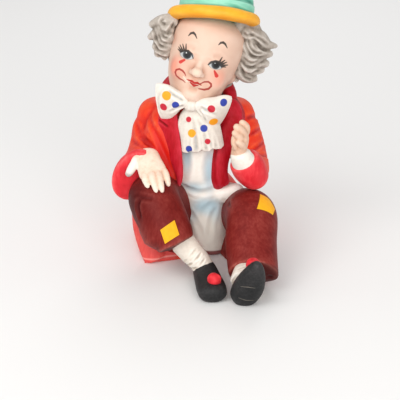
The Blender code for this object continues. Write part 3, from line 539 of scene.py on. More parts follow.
def makeHead():
    wideHead = headSettings["halfWidth"]
    profile = [  # height, shift to the side, forward shift, half width and half depth as shares
        (-25.2, 1.0, 6.4, 0.17, 0.20), (-23.0, 1.0, 6.0, 0.42, 0.42), (-19.6, 1.0, 4.8, 0.60, 0.60),
        (-15.5, 1.0, 3.0, 0.71, 0.75), (-11.0, 0.7, 1.4, 0.79, 0.87), (-5.0, 0.6, 0.2, 0.865, 0.96),
        (2.0, 0.4, -0.6, 0.93, 1.00), (9.0, 0.2, -1.0, 0.93, 0.99), (15.0, 0, -1.2, 0.86, 0.90),
        (22.0, 0, -1.5, 0.66, 0.70),
    ]
    rows = [tuple(headAt(shift, ahead, up)) + (wideHead * wide, wideHead * deep)
            for up, shift, ahead, wide, deep in profile]
    across = headAxes[0]
    neck = [(-2, -2, 70, 13, 12), (-1, -3, 80, 12, 11.5), (0.5, -4, 87, 11.5, 11), (2, -6, 94, 10.5, 10)]

    def lump(right, front, up, *radii):
        return egg(headAt(right, front, up), radii, headAxes)

    flesh = [
        loft(rows, side=across, ends=(0.07, 0.2), rings=60, sides=72),
        lump(0.8, 12.2, -20.2, 5.2, 4.3, 3.6),  # chin
        lump(0.6, 10.3, -14.0, 8.8, 6.4, 6.2),
        egg(Vector((14.4, -5.5, 91.6)), (4.4, 6.0, 5.0)),
        lump(-7.0, 9.8, -9.4, 6.6, 6.2, 6.2),  # cheeks
        lump(7.5, 9.8, -9.4, 6.6, 6.2, 6.2),
        loft(neck, rings=20, sides=32),
    ]
    base = clay("head_base", flesh, headSettings["baseVoxel"], 60)
    nose = headSettings["noseRadius"]
    skin = bmesh.new()
    skin.from_mesh(base.data)
    bpy.data.objects.remove(base, do_unlink=True)
    bridge = [tuple(headAt(-0.2, 16.4, -1.6)) + (1.3, 1.4), tuple(headAt(-0.3, 16.9, -5.0)) + (1.7, 1.8),
              tuple(headAt(-0.4, 17.9, -8.8)) + (2.2, 2.1)]
    forms = [
        skin,
        lump(-0.4, 18.6, -9.2, nose * 1.12, nose * 1.1, nose * 0.9),
        lump(-2.7, 17.0, -9.7, 1.5, 1.9, 1.2),  # nostrils
        lump(1.9, 17.0, -9.7, 1.5, 1.9, 1.2),
        loft(bridge, side=across, rings=16, sides=20),
        lump(0.1, 16.4, -14.2, 2.9, 1.5, 0.8),  # lips
        lump(0.3, 16.0, -15.3, 2.1, 1.6, 0.9),
        lump(-7.6, 13.0, -3.0, 3.6, 3.7, 2.4),  # eyes
        lump(6.9, 13.0, -3.2, 3.6, 3.7, 2.4),
    ]
    head = clay("head", forms, headSettings["voxel"], 18)
    lines = []
    for hand in (-1, 1):
        lines += [  # beside the nose, over the eye, in the nostril and at the corner of the mouth
            ([(-0.3 + hand * 3.6, 17.4, -0.6), (-0.3 + hand * 3.5, 17.0, -4.6)], 1.9, 0.3),
            ([(-0.3 + hand * 4.4, 17.4, 0.2), (-0.3 + hand * 7.4, 17.2, 1.0),
              (-0.3 + hand * 10.6, 15.4, -0.6)], 1.4, 0.25),
            ([(-0.3 + hand * 0.8, 19.6, -11.2), (-0.3 + hand * 1.7, 19.2, -11.2)], 0.45, 0.5),
            ([(0.1 + hand * 3.0, 16.4, -14.2), (0.1 + hand * 3.7, 16, -13.8)], 0.6, 0.35)]
    lines += [  # between the lips and above the chin
        ([(-2.4, 16.6, -14.6), (0.2, 17.8, -14.9), (2.8, 16.6, -14.6)], 0.36, 0.2),
        ([(-2.2, 16, -17.4), (0.4, 16.2, -17.8), (3.0, 16, -17.4)], 1.3, 0.35)]
    pressLines(head, [([headAt(*point) for point in points], wide, deep) for points, wide, deep in lines])
    markFolds(head, 24, 0.5)
    keepPiece(head, facePaint())
    print("head made")


def facePaint():
    paint = Paint("face paint")
    face = paint.flat(headAxes[0], headAxes[2], headCentre)
    # the fold term darkens the skin in hollows and lightens it on rises: painted shade and painted highlight
    # over the skin's own tone
    level = paint.folds() * 0.4 + (paint.noise(10.0, 2.0) - 0.5) * 0.4 + 0.5
    tones = zip([0.0, 0.3, 0.55, 0.8, 1.0], headSettings["skinTones"].split())
    tone = paint.ramp(level, [(place, colour(code)) for place, code in tones])
    for centre, inner, outer, strength, shade in [  # blush on the cheeks, a tint at the left temple and the nose tip, painted shade on the right jaw and neck and under the nose
            ((-12.0, 12.5, -10.6), 1.5, 8.0, 0.75, "E8876E"), ((10.4, 14.5, -8.8), 1.0, 7.0, 0.6, "E8917A"),
            ((-15.5, 6.0, 2.0), 1.0, 5.0, 0.5, "BE8069"), ((15.5, 2.0, -11.5), 2.0, 6.5, 0.55, "A87660"),
            ((-0.4, 20.0, -9.0), 0.5, 3.4, 0.4, "EBC9AC"), ((-0.4, 17.6, -12.2), 0.5, 2.2, 0.35, "D9A18C")]:
        tone = paint.blend(paint.blot(headAt(*centre), inner, outer) * strength, tone, colour(shade))

    def lay(tone, outside, shade, strength=1.0, soft=0.14):
        return paint.blend(paint.ease(outside, soft, -soft) * strength, tone, colour(shade))

    front = paint.ease(paint.along(headAxes[1], headCentre), 6.0, 8.0)
    bare = tone
    tone = lay(tone, paint.oval(face, (-7.6, -12.7), (2.3, 1.9), 0.3) - 1.0, "D9A28C", 0.55, 0.2)
    tone = lay(tone, paint.oval(face, (5.8, -13.9), (2.1, 1.5), 0.0) - 1.0, "D9A28C", 0.4, 0.2)
    # a pale streak at the left corner of the mouth, a painted highlight
    tone = lay(tone, paint.stroke(face, [(-5.8, -13.3, 0.3), (-3.4, -14.7, 0.4)]), "F4DDD0", 0.6)
    loops = paint.stroke(face, [
        (-4.8, -12.6, 0.16), (-5.8, -11.5, 0.34), (-7.2, -10.7, 0.46), (-8.8, -10.5, 0.46),
        (-10.0, -11.3, 0.44), (-10.2, -12.6, 0.38), (-9.2, -14.0, 0.34), (-7.2, -14.8, 0.38),
        (-5.4, -15.0, 0.28), (-4.0, -15.7, 0.14)])
    loops = loops.least(paint.stroke(face, [
        (2.4, -14.2, 0.2), (4.4, -12.3, 0.38), (6.2, -11.6, 0.44), (7.7, -12.1, 0.46), (8.2, -13.2, 0.46),
        (7.4, -14.8, 0.5), (5.6, -15.8, 0.5), (3.0, -16.2, 0.28)]))
    tone = lay(tone, loops, headSettings["mouthLine"], 0.95)
    lips = paint.stroke(face, [(-3.9, -14.0, 0.12), (-1.4, -13.9, 0.55), (0.1, -14.3, 0.5),
                               (1.5, -13.8, 0.55), (3.6, -14.3, 0.14)])
    lips = lips.least(paint.stroke(face, [(-1.9, -14.7, 0.25), (0.3, -15.5, 0.65), (2.1, -14.8, 0.25)]))
    tone = lay(tone, lips, headSettings["lips"])
    parting = paint.stroke(face, [(-2.4, -14.6, 0.04), (0.2, -15.0, 0.12), (2.4, -14.7, 0.04)])
    tone = lay(tone, parting, "7A1410", 0.7)
    marks = paint.stroke(face, [(-9.4, -7.2, 0.8), (-8.0, -5.7, 0.55)])
    marks = marks.least(paint.stroke(face, [(7.2, -5.8, 0.4), (8.9, -7.6, 0.95)]))
    tone = lay(tone, marks, headSettings["tears"])
    for middle, tilt in [(-7.6, 0.05), (6.8, 0.1)]:
        eye = paint.oval(face, (middle, -3.1), (3.4, 2.0), tilt)
        tone = lay(tone, eye - 1.04, "8E6A5C", 0.7, 0.08)
        tone = lay(tone, eye - 0.96, "B9BDBE", 1.0, 0.06)
        inside = paint.ease(eye, 1.0, 0.9)
        for radius, shade, aside, above in [  # iris, its dark, the pupil and a glint
                (2.1, "5A6063", 0.0, 0.15), (1.75, "2B2F32", 0.15, 0.15), (1.1, "131416", 0.2, 0.2),
                (0.28, "D8DCDD", -0.6, 0.85)]:
            iris = paint.oval(face, (middle + aside, -3.0 + above), (radius, radius))
            tone = paint.blend(paint.ease(iris, 1.08, 0.92) * inside, tone, colour(shade))
    lashes = [  # lids, lashes and brows
        [(-10.9, -2.9, 0.2), (-9.4, -1.5, 0.32), (-7.6, -1.0, 0.36), (-5.6, -1.8, 0.3), (-4.2, -3.7, 0.12)],
        [(3.4, -4.0, 0.2), (4.4, -2.4, 0.4), (6.2, -1.4, 0.5), (8.2, -1.3, 0.55), (9.9, -2.9, 0.3)],
        [(-10.9, -2.6, 0.34), (-12.6, -1.9, 0.14)], [(-10.7, -2.3, 0.34), (-12.6, -0.8, 0.14)],
        [(-10.2, -1.9, 0.34), (-12.3, 0.3, 0.14)], [(-9.5, -1.5, 0.34), (-11.2, 1.1, 0.14)],
        [(-8.8, -1.2, 0.32), (-9.7, 1.7, 0.14)],
        [(8.0, -1.3, 0.4), (8.5, 1.5, 0.16)], [(8.7, -1.5, 0.42), (10.2, 0.6, 0.16)],
        [(9.2, -1.9, 0.42), (11.3, 0.0, 0.16)], [(9.5, -2.3, 0.42), (12.3, -1.1, 0.16)],
        [(9.7, -2.7, 0.36), (11.7, -2.3, 0.16)],
        [(-9.9, 5.7, 0.14), (-9.2, 7.2, 0.36), (-8.2, 7.8, 0.42), (-7.1, 7.3, 0.34), (-5.7, 5.8, 0.12)],
        [(4.9, 6.4, 0.14), (5.6, 7.7, 0.36), (6.6, 8.2, 0.42), (7.8, 7.8, 0.34), (9.3, 6.4, 0.12)],
    ]
    black = None
    for points in lashes:
        outside = paint.stroke(face, [(x, y, half * 1.4) for x, y, half in points])
        black = outside if black is None else black.least(outside)
    tone = lay(tone, black, headSettings["lashes"], 0.95)
    tone = paint.blend(front, bare, tone)
    return paint.finish(tone)


hairSettings = {"lockRadius": 3.5, "voxel": 0.42, "combWidth": 0.72, "combDepth": 0.75,
                "tones": "5A5047 80766C A0968C B9B0A7 D2CAC2"}


def makeHair():
    radius = hairSettings["lockRadius"]
    locks = [
        # right of the face, from under the brim to the nape: each lock and its size at root, middle and tip
        ([(20, -8.5, 118.4), (25.1, -8.5, 115.5), (27.6, -8, 113.2), (29.2, -7, 110.6)], 1.0, 0.9, 0.45),
        ([(20.3, -9, 114.2), (24.1, -10, 112.4), (29.1, -9, 109.9), (33.0, -8, 106.8), (38.0, -6.6, 105.6)],
         1.1, 1.15, 0.24),
        ([(21.3, -10.5, 109.6), (23.7, -11, 105.6), (27.7, -10, 103.6), (31.8, -8.5, 102.4),
          (35.6, -7.2, 101.8)], 1.1, 1.1, 0.36),
        ([(20.8, -10.5, 104.7), (22.8, -11, 101.4), (26.3, -10, 99.4), (29.8, -8.5, 98.0), (33.8, -7.2, 96.6)],
         1.1, 1.05, 0.45),
        ([(19.5, -10.5, 99.7), (21.4, -11, 96.5), (24.4, -10, 94.9), (27.8, -8.5, 94.1), (31.6, -7.2, 94.0)],
         1.05, 0.95, 0.4),
        ([(18.5, -10.5, 96.2), (20, -10.5, 93.3), (22.5, -9.5, 91.0), (25.2, -8.5, 89.8), (28.2, -7.8, 90.0)],
         0.9, 0.85, 0.45),
        ([(20, -4, 116), (24, -3, 112), (27, -2, 107), (28, -1, 102), (28.5, 0, 97.5)], 1.3, 1.3, 0.9),
        ([(20, -2, 108), (24, -1, 103), (26, 0, 98), (25, 1, 93), (23, 1, 90)], 1.4, 1.4, 0.9),
        # left of the face
        ([(-10.6, -9, 119.3), (-15.4, -9.5, 119.0), (-20.4, -8, 117.8), (-24.4, -6.5, 115.8)], 1.0, 0.95, 0.4),
        ([(-12.5, -10, 116.4), (-17.4, -9.5, 114.8), (-21.3, -8, 112.2), (-25.2, -6.5, 109.4)],
         1.05, 1.0, 0.34),
        ([(-13, -10.5, 113.1), (-16.5, -10, 110.5), (-20.0, -8.5, 107.6), (-22.0, -7, 104.2)], 1.05, 1.0, 0.5),
        ([(-14, -10, 109), (-16.8, -9.5, 106.4), (-19.8, -8, 103.5), (-20.6, -7, 100.8)], 0.95, 0.9, 0.55),
        ([(-14.6, -9.5, 106.4), (-16.4, -9, 103.6), (-17.2, -8, 101.2), (-16.1, -8, 99.6)], 0.8, 0.7, 0.4),
        ([(-14, -4, 118), (-18, -3, 115), (-19.4, -3, 111), (-18.2, -3, 107), (-16, -3, 104)], 1.2, 1.2, 0.8),
    ]
    forms = []
    for points, root, middle, tip in locks:
        rows = []
        for step, place in enumerate(betweenRows(points, np.linspace(0, 1, 9))):
            share = step / 8
            size = root * (1 - share / 0.55) + middle * share / 0.55
            if share > 0.55:
                size = middle + (tip - middle) * ((share - 0.55) / 0.45) ** 0.8
            rows.append(tuple(place) + (radius * size, radius * size * 0.9))
        forms.append(loft(rows, side=(0, 0, 1), ends=(0.2, 0.07), rings=30, sides=24))
    # two rows of wavy locks round the back, between angles in degrees
    for high, low, reach, leftmost, rightmost in [(13, -8, 18.5, -80, 80), (4, -17, 18.0, -24, 52)]:
        count = round((rightmost - leftmost) / 12)
        for step in range(count):
            turn = math.radians(leftmost + (rightmost - leftmost) * step / (count - 1))
            sway = 1.8 if step % 2 else -1.8
            s, c = math.sin(turn), -math.cos(turn)
            rows = []
            for share, out, swing, size in [(0, -3, 0, 2.2), (0.25, 0, 1, 2.5), (0.5, 0.6, -0.6, 2.5),
                                            (0.75, 0.4, -1, 2.3), (1, 1.2, 0.7, 0.9)]:
                away = reach + out
                side = sway * swing
                spot = headAt(away * s + side * c, away * c - side * s, high + share * (low - high))
                rows.append(tuple(spot) + (size, size * 1.15))
            across = headAxes[0] * -c + headAxes[1] * s
            forms.append(loft(rows, side=across, ends=(0.15, 0.1), rings=24, sides=14))
    cap = [tuple(headAt(0, -5, 15)) + (17.5, 15), tuple(headAt(0, -6, 2)) + (19.2, 15.5),
           tuple(headAt(1.8, -8, -10)) + (15.2, 13), tuple(headAt(2.4, -8, -18)) + (11.0, 9.5)]
    forms.append(loft(cap, side=headAxes[0], ends=(0.25, 0.35), rings=30, sides=48))
    forms.append(egg(headAt(0.6, -7.5, 8.5), (17.0, 13.2, 9.5), headAxes))
    for middle, radii in [  # soft masses that the locks lie on
            ((23.0, -6.0, 104), (5.0, 4.6, 10.0)), ((21, -7, 95), (3.8, 4.0, 5.0)),
            ((19.0, 0.0, 94.5), (5.0, 5.5, 6.5)), ((19.3, -8.5, 116.3), (3.4, 3.4, 3.8)),
            ((-16.4, -6.5, 110.6), (4.2, 4.6, 7.2))]:
        forms.append(egg(Vector(middle), radii))
    hair = clay("hair", forms, hairSettings["voxel"], 4)
    combed = [  # grooves swept from the hairline to the tips, as x and z
        [(21.4, 110.4), (22.2, 106.6), (24.7, 102.3), (28.4, 101.2), (33.2, 102)],
        [(23, 110.4), (24.3, 106.1), (27.3, 103.4), (31, 103.1)],
        [(24.5, 111), (27.2, 108.8), (29.9, 105.5), (33.1, 104.4)],
        [(19.9, 100.6), (22.1, 97.3), (25.3, 96.2), (29.5, 98.4), (31.9, 99.3)],
        [(18.9, 97.9), (21.1, 94), (24.6, 92.4), (27.8, 94), (30.1, 94.3)],
        [(20.4, 101.7), (23.1, 99), (26.4, 98.4), (30, 100.6)],
        [(20.5, 113.7), (22.9, 112), (26.4, 112.3)],
        [(19.5, 95.3), (22.2, 91.3), (25.4, 89.9)],
        [(22.6, 114.2), (26, 111.7), (29.9, 109.7), (33.4, 106.8)],
        [(-23.2, 116.4), (-21.8, 113.3), (-20.8, 109.4), (-18.9, 106.8), (-15, 106.1)],
        [(-21.7, 116.8), (-20.1, 112.9), (-18.8, 108.9), (-15, 107.6)],
        [(-20, 116.4), (-18, 112), (-15.3, 110.4)],
        [(-24.2, 110.2), (-21.9, 107.2), (-20.2, 104.5), (-16.3, 103.3)],
        [(-21.3, 102.8), (-18.9, 101), (-15.5, 100.6)],
        [(-11.9, 118.7), (-14.1, 115.5), (-16.4, 113.1), (-18.8, 115.1)],
        [(-11.9, 117.1), (-14, 113.7), (-16.1, 111.6)],
        [(-17.3, 120.5), (-18.7, 118.6), (-16.3, 117.3)],
    ]
    wide, deep = hairSettings["combWidth"], hairSettings["combDepth"]
    grooves = [([(x, -11, z) for x, z in points], wide, deep) for points in combed]
    pressLines(hair, grooves, facing=(0, -0.969, 0.246))
    markFolds(hair, 14, 0.5)
    keepShadedWash(hair, "hair grey", hairSettings["tones"], 0.6, 0.25, streakSize=1.1, spread=0.46)
    print("hair made")


bowSettings = {
    "halfHeight": 9.4, "thickness": 3.2, "jabotHalfWidth": 10.4, "voxel": 0.36, "knotVoxel": 0.3,
    "tones": "9C9087 C6BDB3 DDD6CC E9E3DA F3EFE8", "orange": "F5A21D", "red": "C01F33", "blue": "2C3F9E",
}


def makeBow():
    high = bowSettings["halfHeight"]
    thick = bowSettings["thickness"]
    left = [
        (-5.5, -24.8, 82.4, 2.0, 2.2), (-9.4, -24.6, 83.2, 0.50 * high, 0.95 * thick),
        (-13.7, -23.4, 83.0, 0.86 * high, 1.1 * thick), (-17.4, -22.0, 82.4, high, thick),
        (-20.4, -20.6, 82.1, 0.98 * high, 0.8 * thick),
    ]
    right = [
        (-2.6, -25.2, 82.2, 2.0, 2.2), (1.8, -25.8, 80.9, 0.50 * high, 0.95 * thick),
        (6.0, -25.6, 79.0, 0.84 * high, 1.1 * thick), (9.2, -24.2, 77.8, high, thick),
        (11.8, -22.4, 76.8, 0.98 * high, 0.8 * thick),
    ]
    loops = [
        loft(left, side=(-0.06, -0.12, 1.0), ends=(0.1, 0.07), rings=40, sides=48),
        loft(right, side=(0.50, -0.05, 0.86), ends=(0.1, 0.07), rings=40, sides=48),
    ]
    bow = clay("bow_tie", loops, bowSettings["voxel"], 4)
    pressLines(bow, [
        ([(-7.5, -27.4, 84), (-11.6, -27, 86.4), (-15.5, -25.6, 88.8)], 0.9, 0.8),
        ([(-7.5, -27.4, 81.6), (-11.6, -27.4, 79.8), (-15.6, -26.2, 77.4)], 0.9, 0.8),
        ([(-0.4, -28.4, 81.4), (3.6, -28.8, 79.6), (8.4, -27.6, 77.4)], 0.9, 0.7),
        ([(-1.0, -28.4, 80.6), (0.8, -28.8, 77), (2.6, -27.6, 73.4)], 0.9, 0.8),
        ([(-16.5, -25, 90), (-19.4, -24, 86), (-20.2, -23.6, 79), (-18.4, -24, 74)], 0.9, 0.35),
    ])
    markFolds(bow, 16, 0.4)
    knot = clay("bow_knot", [egg(Vector((-4.1, -25.0, 81.2)), (3.7, 3.2, 2.9))], bowSettings["knotVoxel"], 2)
    pressLines(knot, [([(-6.0, -28, 83.5), (-5.4, -29, 81), (-6.0, -28, 79)], 0.5, 0.45),
                      ([(-3.6, -28.5, 84), (-3.2, -29, 81), (-3.6, -28, 78.6)], 0.5, 0.45)])
    markFolds(knot, 12, 0.4)
    half = bowSettings["jabotHalfWidth"]
    fall = [
        (-4.0, -21.6, 81.0, 0.50 * half, 2.6), (-1.6, -22.4, 74.5, 0.92 * half, 3.4),
        (0.4, -24.2, 66.5, 0.98 * half, 3.4), (1.6, -25.4, 58.2, half, 2.8),
    ]
    jabot = clay("jabot", [loft(fall, side=(1.0, 0.0, 0.26), ends=(0.2, 0.06), rings=60, sides=90)],
                 bowSettings["voxel"], 3)
    place = readMesh(jabot)[0]
    low = np.clip((66 - place[:, 2]) / 8, 0, 1)
    place[:, 2] += low * (0.45 * np.sin(place[:, 0] * 1.15 + 0.4) + 0.2 * np.sin(place[:, 0] * 2.3))
    writeMesh(jabot, place)
    pressLines(jabot, [
        ([(-6.0, -27, 77), (-7.0, -28, 68), (-7.6, -28, 57)], 1.0, 0.7),
        ([(-4.2, -27, 79), (-2.6, -28.4, 68), (-1.6, -28.8, 57)], 1.2, 1.2),
        ([(-2.8, -27, 78), (2.0, -28.6, 68), (3.6, -29, 56)], 1.0, 0.9),
        ([(-1, -27, 77), (6.2, -28.6, 69), (8.6, -28.6, 59)], 1.0, 1.0),
        ([(4.6, -28, 64), (5.6, -29, 60), (6.0, -29, 56)], 0.9, 0.5),
        ([(8.8, -28, 68), (10.2, -28, 63), (11.0, -28, 58)], 0.8, 0.5),
    ])
    markFolds(jabot, 12, 0.4)
    dots = {
        bow: [((-16.1, -26.4, 86.4), 2.3, "orange"), ((-17.6, -25.1, 80.4), 1.9, "red"),
              ((-11.7, -27.3, 82.0), 1.8, "blue"), ((11.4, -27.7, 83.4), 1.9, "blue"),
              ((5.4, -29.3, 80.6), 1.9, "red"), ((6.6, -27.5, 73.4), 2.3, "orange")],
        knot: [],
        jabot: [((-5.8, -26.5, 74.5), 1.7, "red"), ((1.9, -27.4, 70.3), 1.8, "blue"),
                ((-4.0, -27.6, 67.8), 2.1, "orange"), ((3.7, -28.0, 63.8), 1.45, "red"),
                ((-5.4, -27.5, 59.8), 1.65, "blue")],
    }
    for piece, places in dots.items():
        name = "spotted " + piece.name.replace("_", " ")
        paint, tone, brush = shadedWash(name, bowSettings["tones"], spread=0.5)
        # a blue-grey tint in the hollows, partly the piece's own airbrushing and partly painted shade
        tone = paint.blend(paint.ease(paint.folds(), -0.1, -0.9) * 0.35, tone, colour("A9C0CC"))
        for centre, radius, shade in places:
            tone = paint.blend(paint.dot(centre, radius), tone, colour(bowSettings[shade]))
        keepPiece(piece, paint.finish(tone, 0.55, strokes=brush))
    print("bow made")


shirtSettings = {
    "voxel": 0.5, "stripHeight": 3.1, "stripTone": "7E1014", "airbrush": "ACCEDC", "cream": "FFFBEE",
    "tones": "D6CEC2 E9E3D9 F3EEE5 F9F6EF FDFBF7",
}


def makeShirt():
    chest = [(-1.0, -8, 34, 11.5, 12.5), (-1.2, -8, 40, 14.0, 16.0), (-0.8, -7.5, 50, 14.0, 16.2),
             (-0.6, -7, 62, 13, 15.6), (-1.5, -7, 76, 11, 14)]
    skirt = [(1.0, -10, 37, 11, 12), (2.6, -9.5, 28, 13, 14.4), (4.4, -9.5, 14, 12, 14.2),
             (6.0, -8.5, -3, 11, 13)]
    lap = [(-0.6, -8, 52, 12, 14.0), (0.4, -8.4, 42, 13, 15.0), (1.4, -9.2, 34, 13, 15.0),
           (2.6, -9.5, 25, 12.6, 14.4), (4.0, -9.5, 16, 11, 13.6)]
    fold = [(4, -14, 33, 6, 6.5), (11, -18, 33.4, 6.0, 5.5), (17, -20, 35.0, 4.4, 4.2),
            (22, -21, 36.2, 2.6, 2.6)]
    forms = [
        loft(chest, ends=(0.14, 0.2), rings=40, sides=48),
        loft(skirt, ends=(0.2, 0.06), rings=40, sides=48),
        loft(lap, ends=(0.25, 0.25), rings=40, sides=48),
        loft(fold, side=(0, 1, 0), ends=(0.2, 0.2), rings=36, sides=40),
    ]
    shirt = clay("shirt", forms, shirtSettings["voxel"], 30)
    pressLines(shirt, [
        ([(-10, -20, 38.4), (-5.2, -23, 36.4), (1.6, -24, 35.6), (8.6, -22, 37.4)], 1.5, 0.8),
        ([(-8, -21, 34), (-3.4, -23.6, 32.8), (1.6, -24, 33.2)], 1.0, 0.35),
        ([(-1.0, -24, 20.6), (2.5, -24.6, 26.3), (7.5, -24, 30.4)], 1.6, 0.5),
        ([(-7.0, -20, 26), (-2.7, -23.6, 19.5), (2.0, -23.6, 9.3)], 1.7, 0.6),
        ([(9.0, -24, 30.1), (5.6, -24.4, 19.8), (3.9, -23.6, 7.6)], 1.6, 0.55),
        ([(12.5, -24, 33), (11.0, -25, 26), (8.6, -24, 16)], 1.5, 0.5),
        ([(-10, -20, 62), (-6, -23, 50), (-8, -21, 40)], 1.8, 0.5),
        ([(6, -22, 58), (3, -23, 48), (6, -22, 38)], 1.8, 0.4),
    ])
    markFolds(shirt, 18, 0.5)
    paint, tone, brush = shadedWash("airbrushed shirt", shirtSettings["tones"], spread=0.4)
    blue = colour(shirtSettings["airbrush"])
    for centre, inner, outer, stretch, strength in [
            # the first two patches, on the bib, are blue airbrush that also stands for painted shade in its
            # folds
            ((-6.5, -22, 55), 1.0, 8.0, (0.5, 1.5, 1.8), 0.8), ((5, -24, 47), 1.0, 8.0, (0.65, 1.5, 2.2), 0.9),
            ((-3, -23, 38), 1.0, 8.0, (1.2, 1.5, 0.6), 0.7), ((3, -25, 28), 2.0, 9.0, (1.2, 1.5, 0.8), 0.85),
            ((8, -25, 24), 1.0, 7.0, (0.8, 1.5, 1.4), 0.8), ((-4, -23, 22), 0.5, 6.0, (0.8, 1.5, 1.2), 0.4)]:
        tone = paint.blend(paint.blot(centre, inner, outer, stretch) * strength, tone, blue)
    # a pool of painted light in cream on the lower lap
    cream = paint.blot((7, -25, 12), 4.0, 18.0)
    tone = paint.blend(cream * 0.7, tone, colour(shirtSettings["cream"]))
    stripHeight = shirtSettings["stripHeight"]
    strip = paint.ease(paint.spot.rise(), stripHeight + 0.5, stripHeight - 0.5)
    tone = paint.blend(strip * 0.9, tone, colour(shirtSettings["stripTone"]))
    keepPiece(shirt, paint.finish(tone, 0.55, strokes=brush))
    print("shirt made")


coatSettings = {
    "torsoHalfWidth": 18.0, "sleeveRadius": 12.0, "edge": 3.6, "voxel": 0.63,
    "tones": "A00A04 CE1806 E4300E EE4A1C F67646", "red": "CC0E04", "tail": "CC333A", "tailLight": "EC6660",
}
coatHem = [
    (-28.0, -30.0), (-26.0, -31.0), (-8.0, -26.0), (5.0, -17.5), (16.0, -8.5), (28.0, -8.0), (34.0, 0.0),
    (34.0, 13.0), (26.0, 26.0), (9.0, 32.0), (-12.0, 31.0), (-28.0, 23.0), (-34.0, 9.0), (-32.0, -12.0),
]


def coatForms():
    half = coatSettings["torsoHalfWidth"]
    edge = coatSettings["edge"]
    torso = [
        (3, 6, -4, 1.25 * half, 20), (3, 5, 10, 1.26 * half, 20.5), (2, 3, 21, 1.12 * half, 20),
        (0, -1, 32, 0.84 * half, 17.5), (-1.5, -3, 41, 0.84 * half, 16.0), (-2, -3, 52, 0.95 * half, 16.0),
        (-3, -2, 62, 1.16 * half, 16.5), (-3, -1, 71, 1.10 * half, 15.0), (-2, -2, 80, 0.66 * half, 11.0),
    ]
    frontLeft = [
        (-12, -6, 79, 7, 11), (-16.0, -8, 69, 9.5, 13.5), (-17.5, -10, 58, 11, 14.5),
        (-17.0, -12, 48, 10.5, 14.0), (-15.5, -13, 40, 8.5, 13.0), (-13.5, -14, 34, 6, 10),
    ]
    levels = [
        (-edge, 1.0), (0.2 * edge, 1.0), (edge, 0.99), (edge + 2.5, 0.90), (edge + 6.0, 0.80),
        (edge + 11.0, 0.70), (edge + 17.0, 0.60), (edge + 24.0, 0.47), (edge + 31.0, 0.36),
    ]
    skirt = [(2.0, 4.0 + 0.05 * max(height - edge, 0.0), height, size, size) for height, size in levels]
    hem = np.array(coatHem) - np.array([(2.0, 4.0)])
    tail = [
        (-28.6, -21, 40, 4.6, 3), (-28.6, -23, 30, 5.4, 3.4), (-28.0, -25.4, 19, 5.8, 3.8),
        (-25.4, -27.6, 9, 5.8, 4.0), (-22.0, -28.4, 1.0, 6.0, 4.2),
    ]
    return [
        loft(torso, ends=(0.08, 0.14), rings=60, sides=64),
        loft(frontLeft, ends=(0.3, 0.2), rings=40, sides=40),
        egg(Vector((-20.5, 1, 66)), (11.5, 12, 11)),
        egg(Vector((16.5, 1, 66)), (11.5, 12, 11)),
        loft(skirt, ends=(0.02, 0.1), outline=hem, rings=60, sides=110),
        loft(tail, side=(1, 0.2, 0), ends=(0.2, 0.05), rings=50, sides=40),
    ]


def sleeveForms():
    wide = coatSettings["sleeveRadius"]
    resting = [
        (-19, 2, 67, 0.78 * wide, 0.80 * wide), (-23.0, 1, 61.5, 0.90 * wide, 0.94 * wide),
        (-24.4, -4, 55.5, 0.88 * wide, 0.98 * wide), (-26.8, -13, 50.2, 0.84 * wide, 1.05 * wide),
        (-30.0, -21, 47.2, 0.80 * wide, 1.18 * wide), (-31.6, -28, 45.6, 0.76 * wide, 1.22 * wide),
    ]
    raised = [
        (16, 2, 69, 0.74 * wide, 0.80 * wide), (19.4, 0, 62.5, 0.84 * wide, 0.92 * wide),
        (22.6, -6, 55.5, 0.80 * wide, 0.86 * wide), (24.8, -14, 50.2, 0.74 * wide, 0.80 * wide),
        (26.8, -22.5, 48.0, 0.62 * wide, 0.74 * wide), (25.0, -30.0, 51.0, 0.60 * wide, 0.66 * wide),
        (21.4, -35.0, 57.5, 0.58 * wide, 0.58 * wide),
    ]
    return [
        loft(resting, side=(1, 0.25, -0.5), ends=(0.25, 0.05), rings=50, sides=56),
        loft(raised, side=(1, 0, 0), ends=(0.2, 0.1), rings=50, sides=56),
    ]


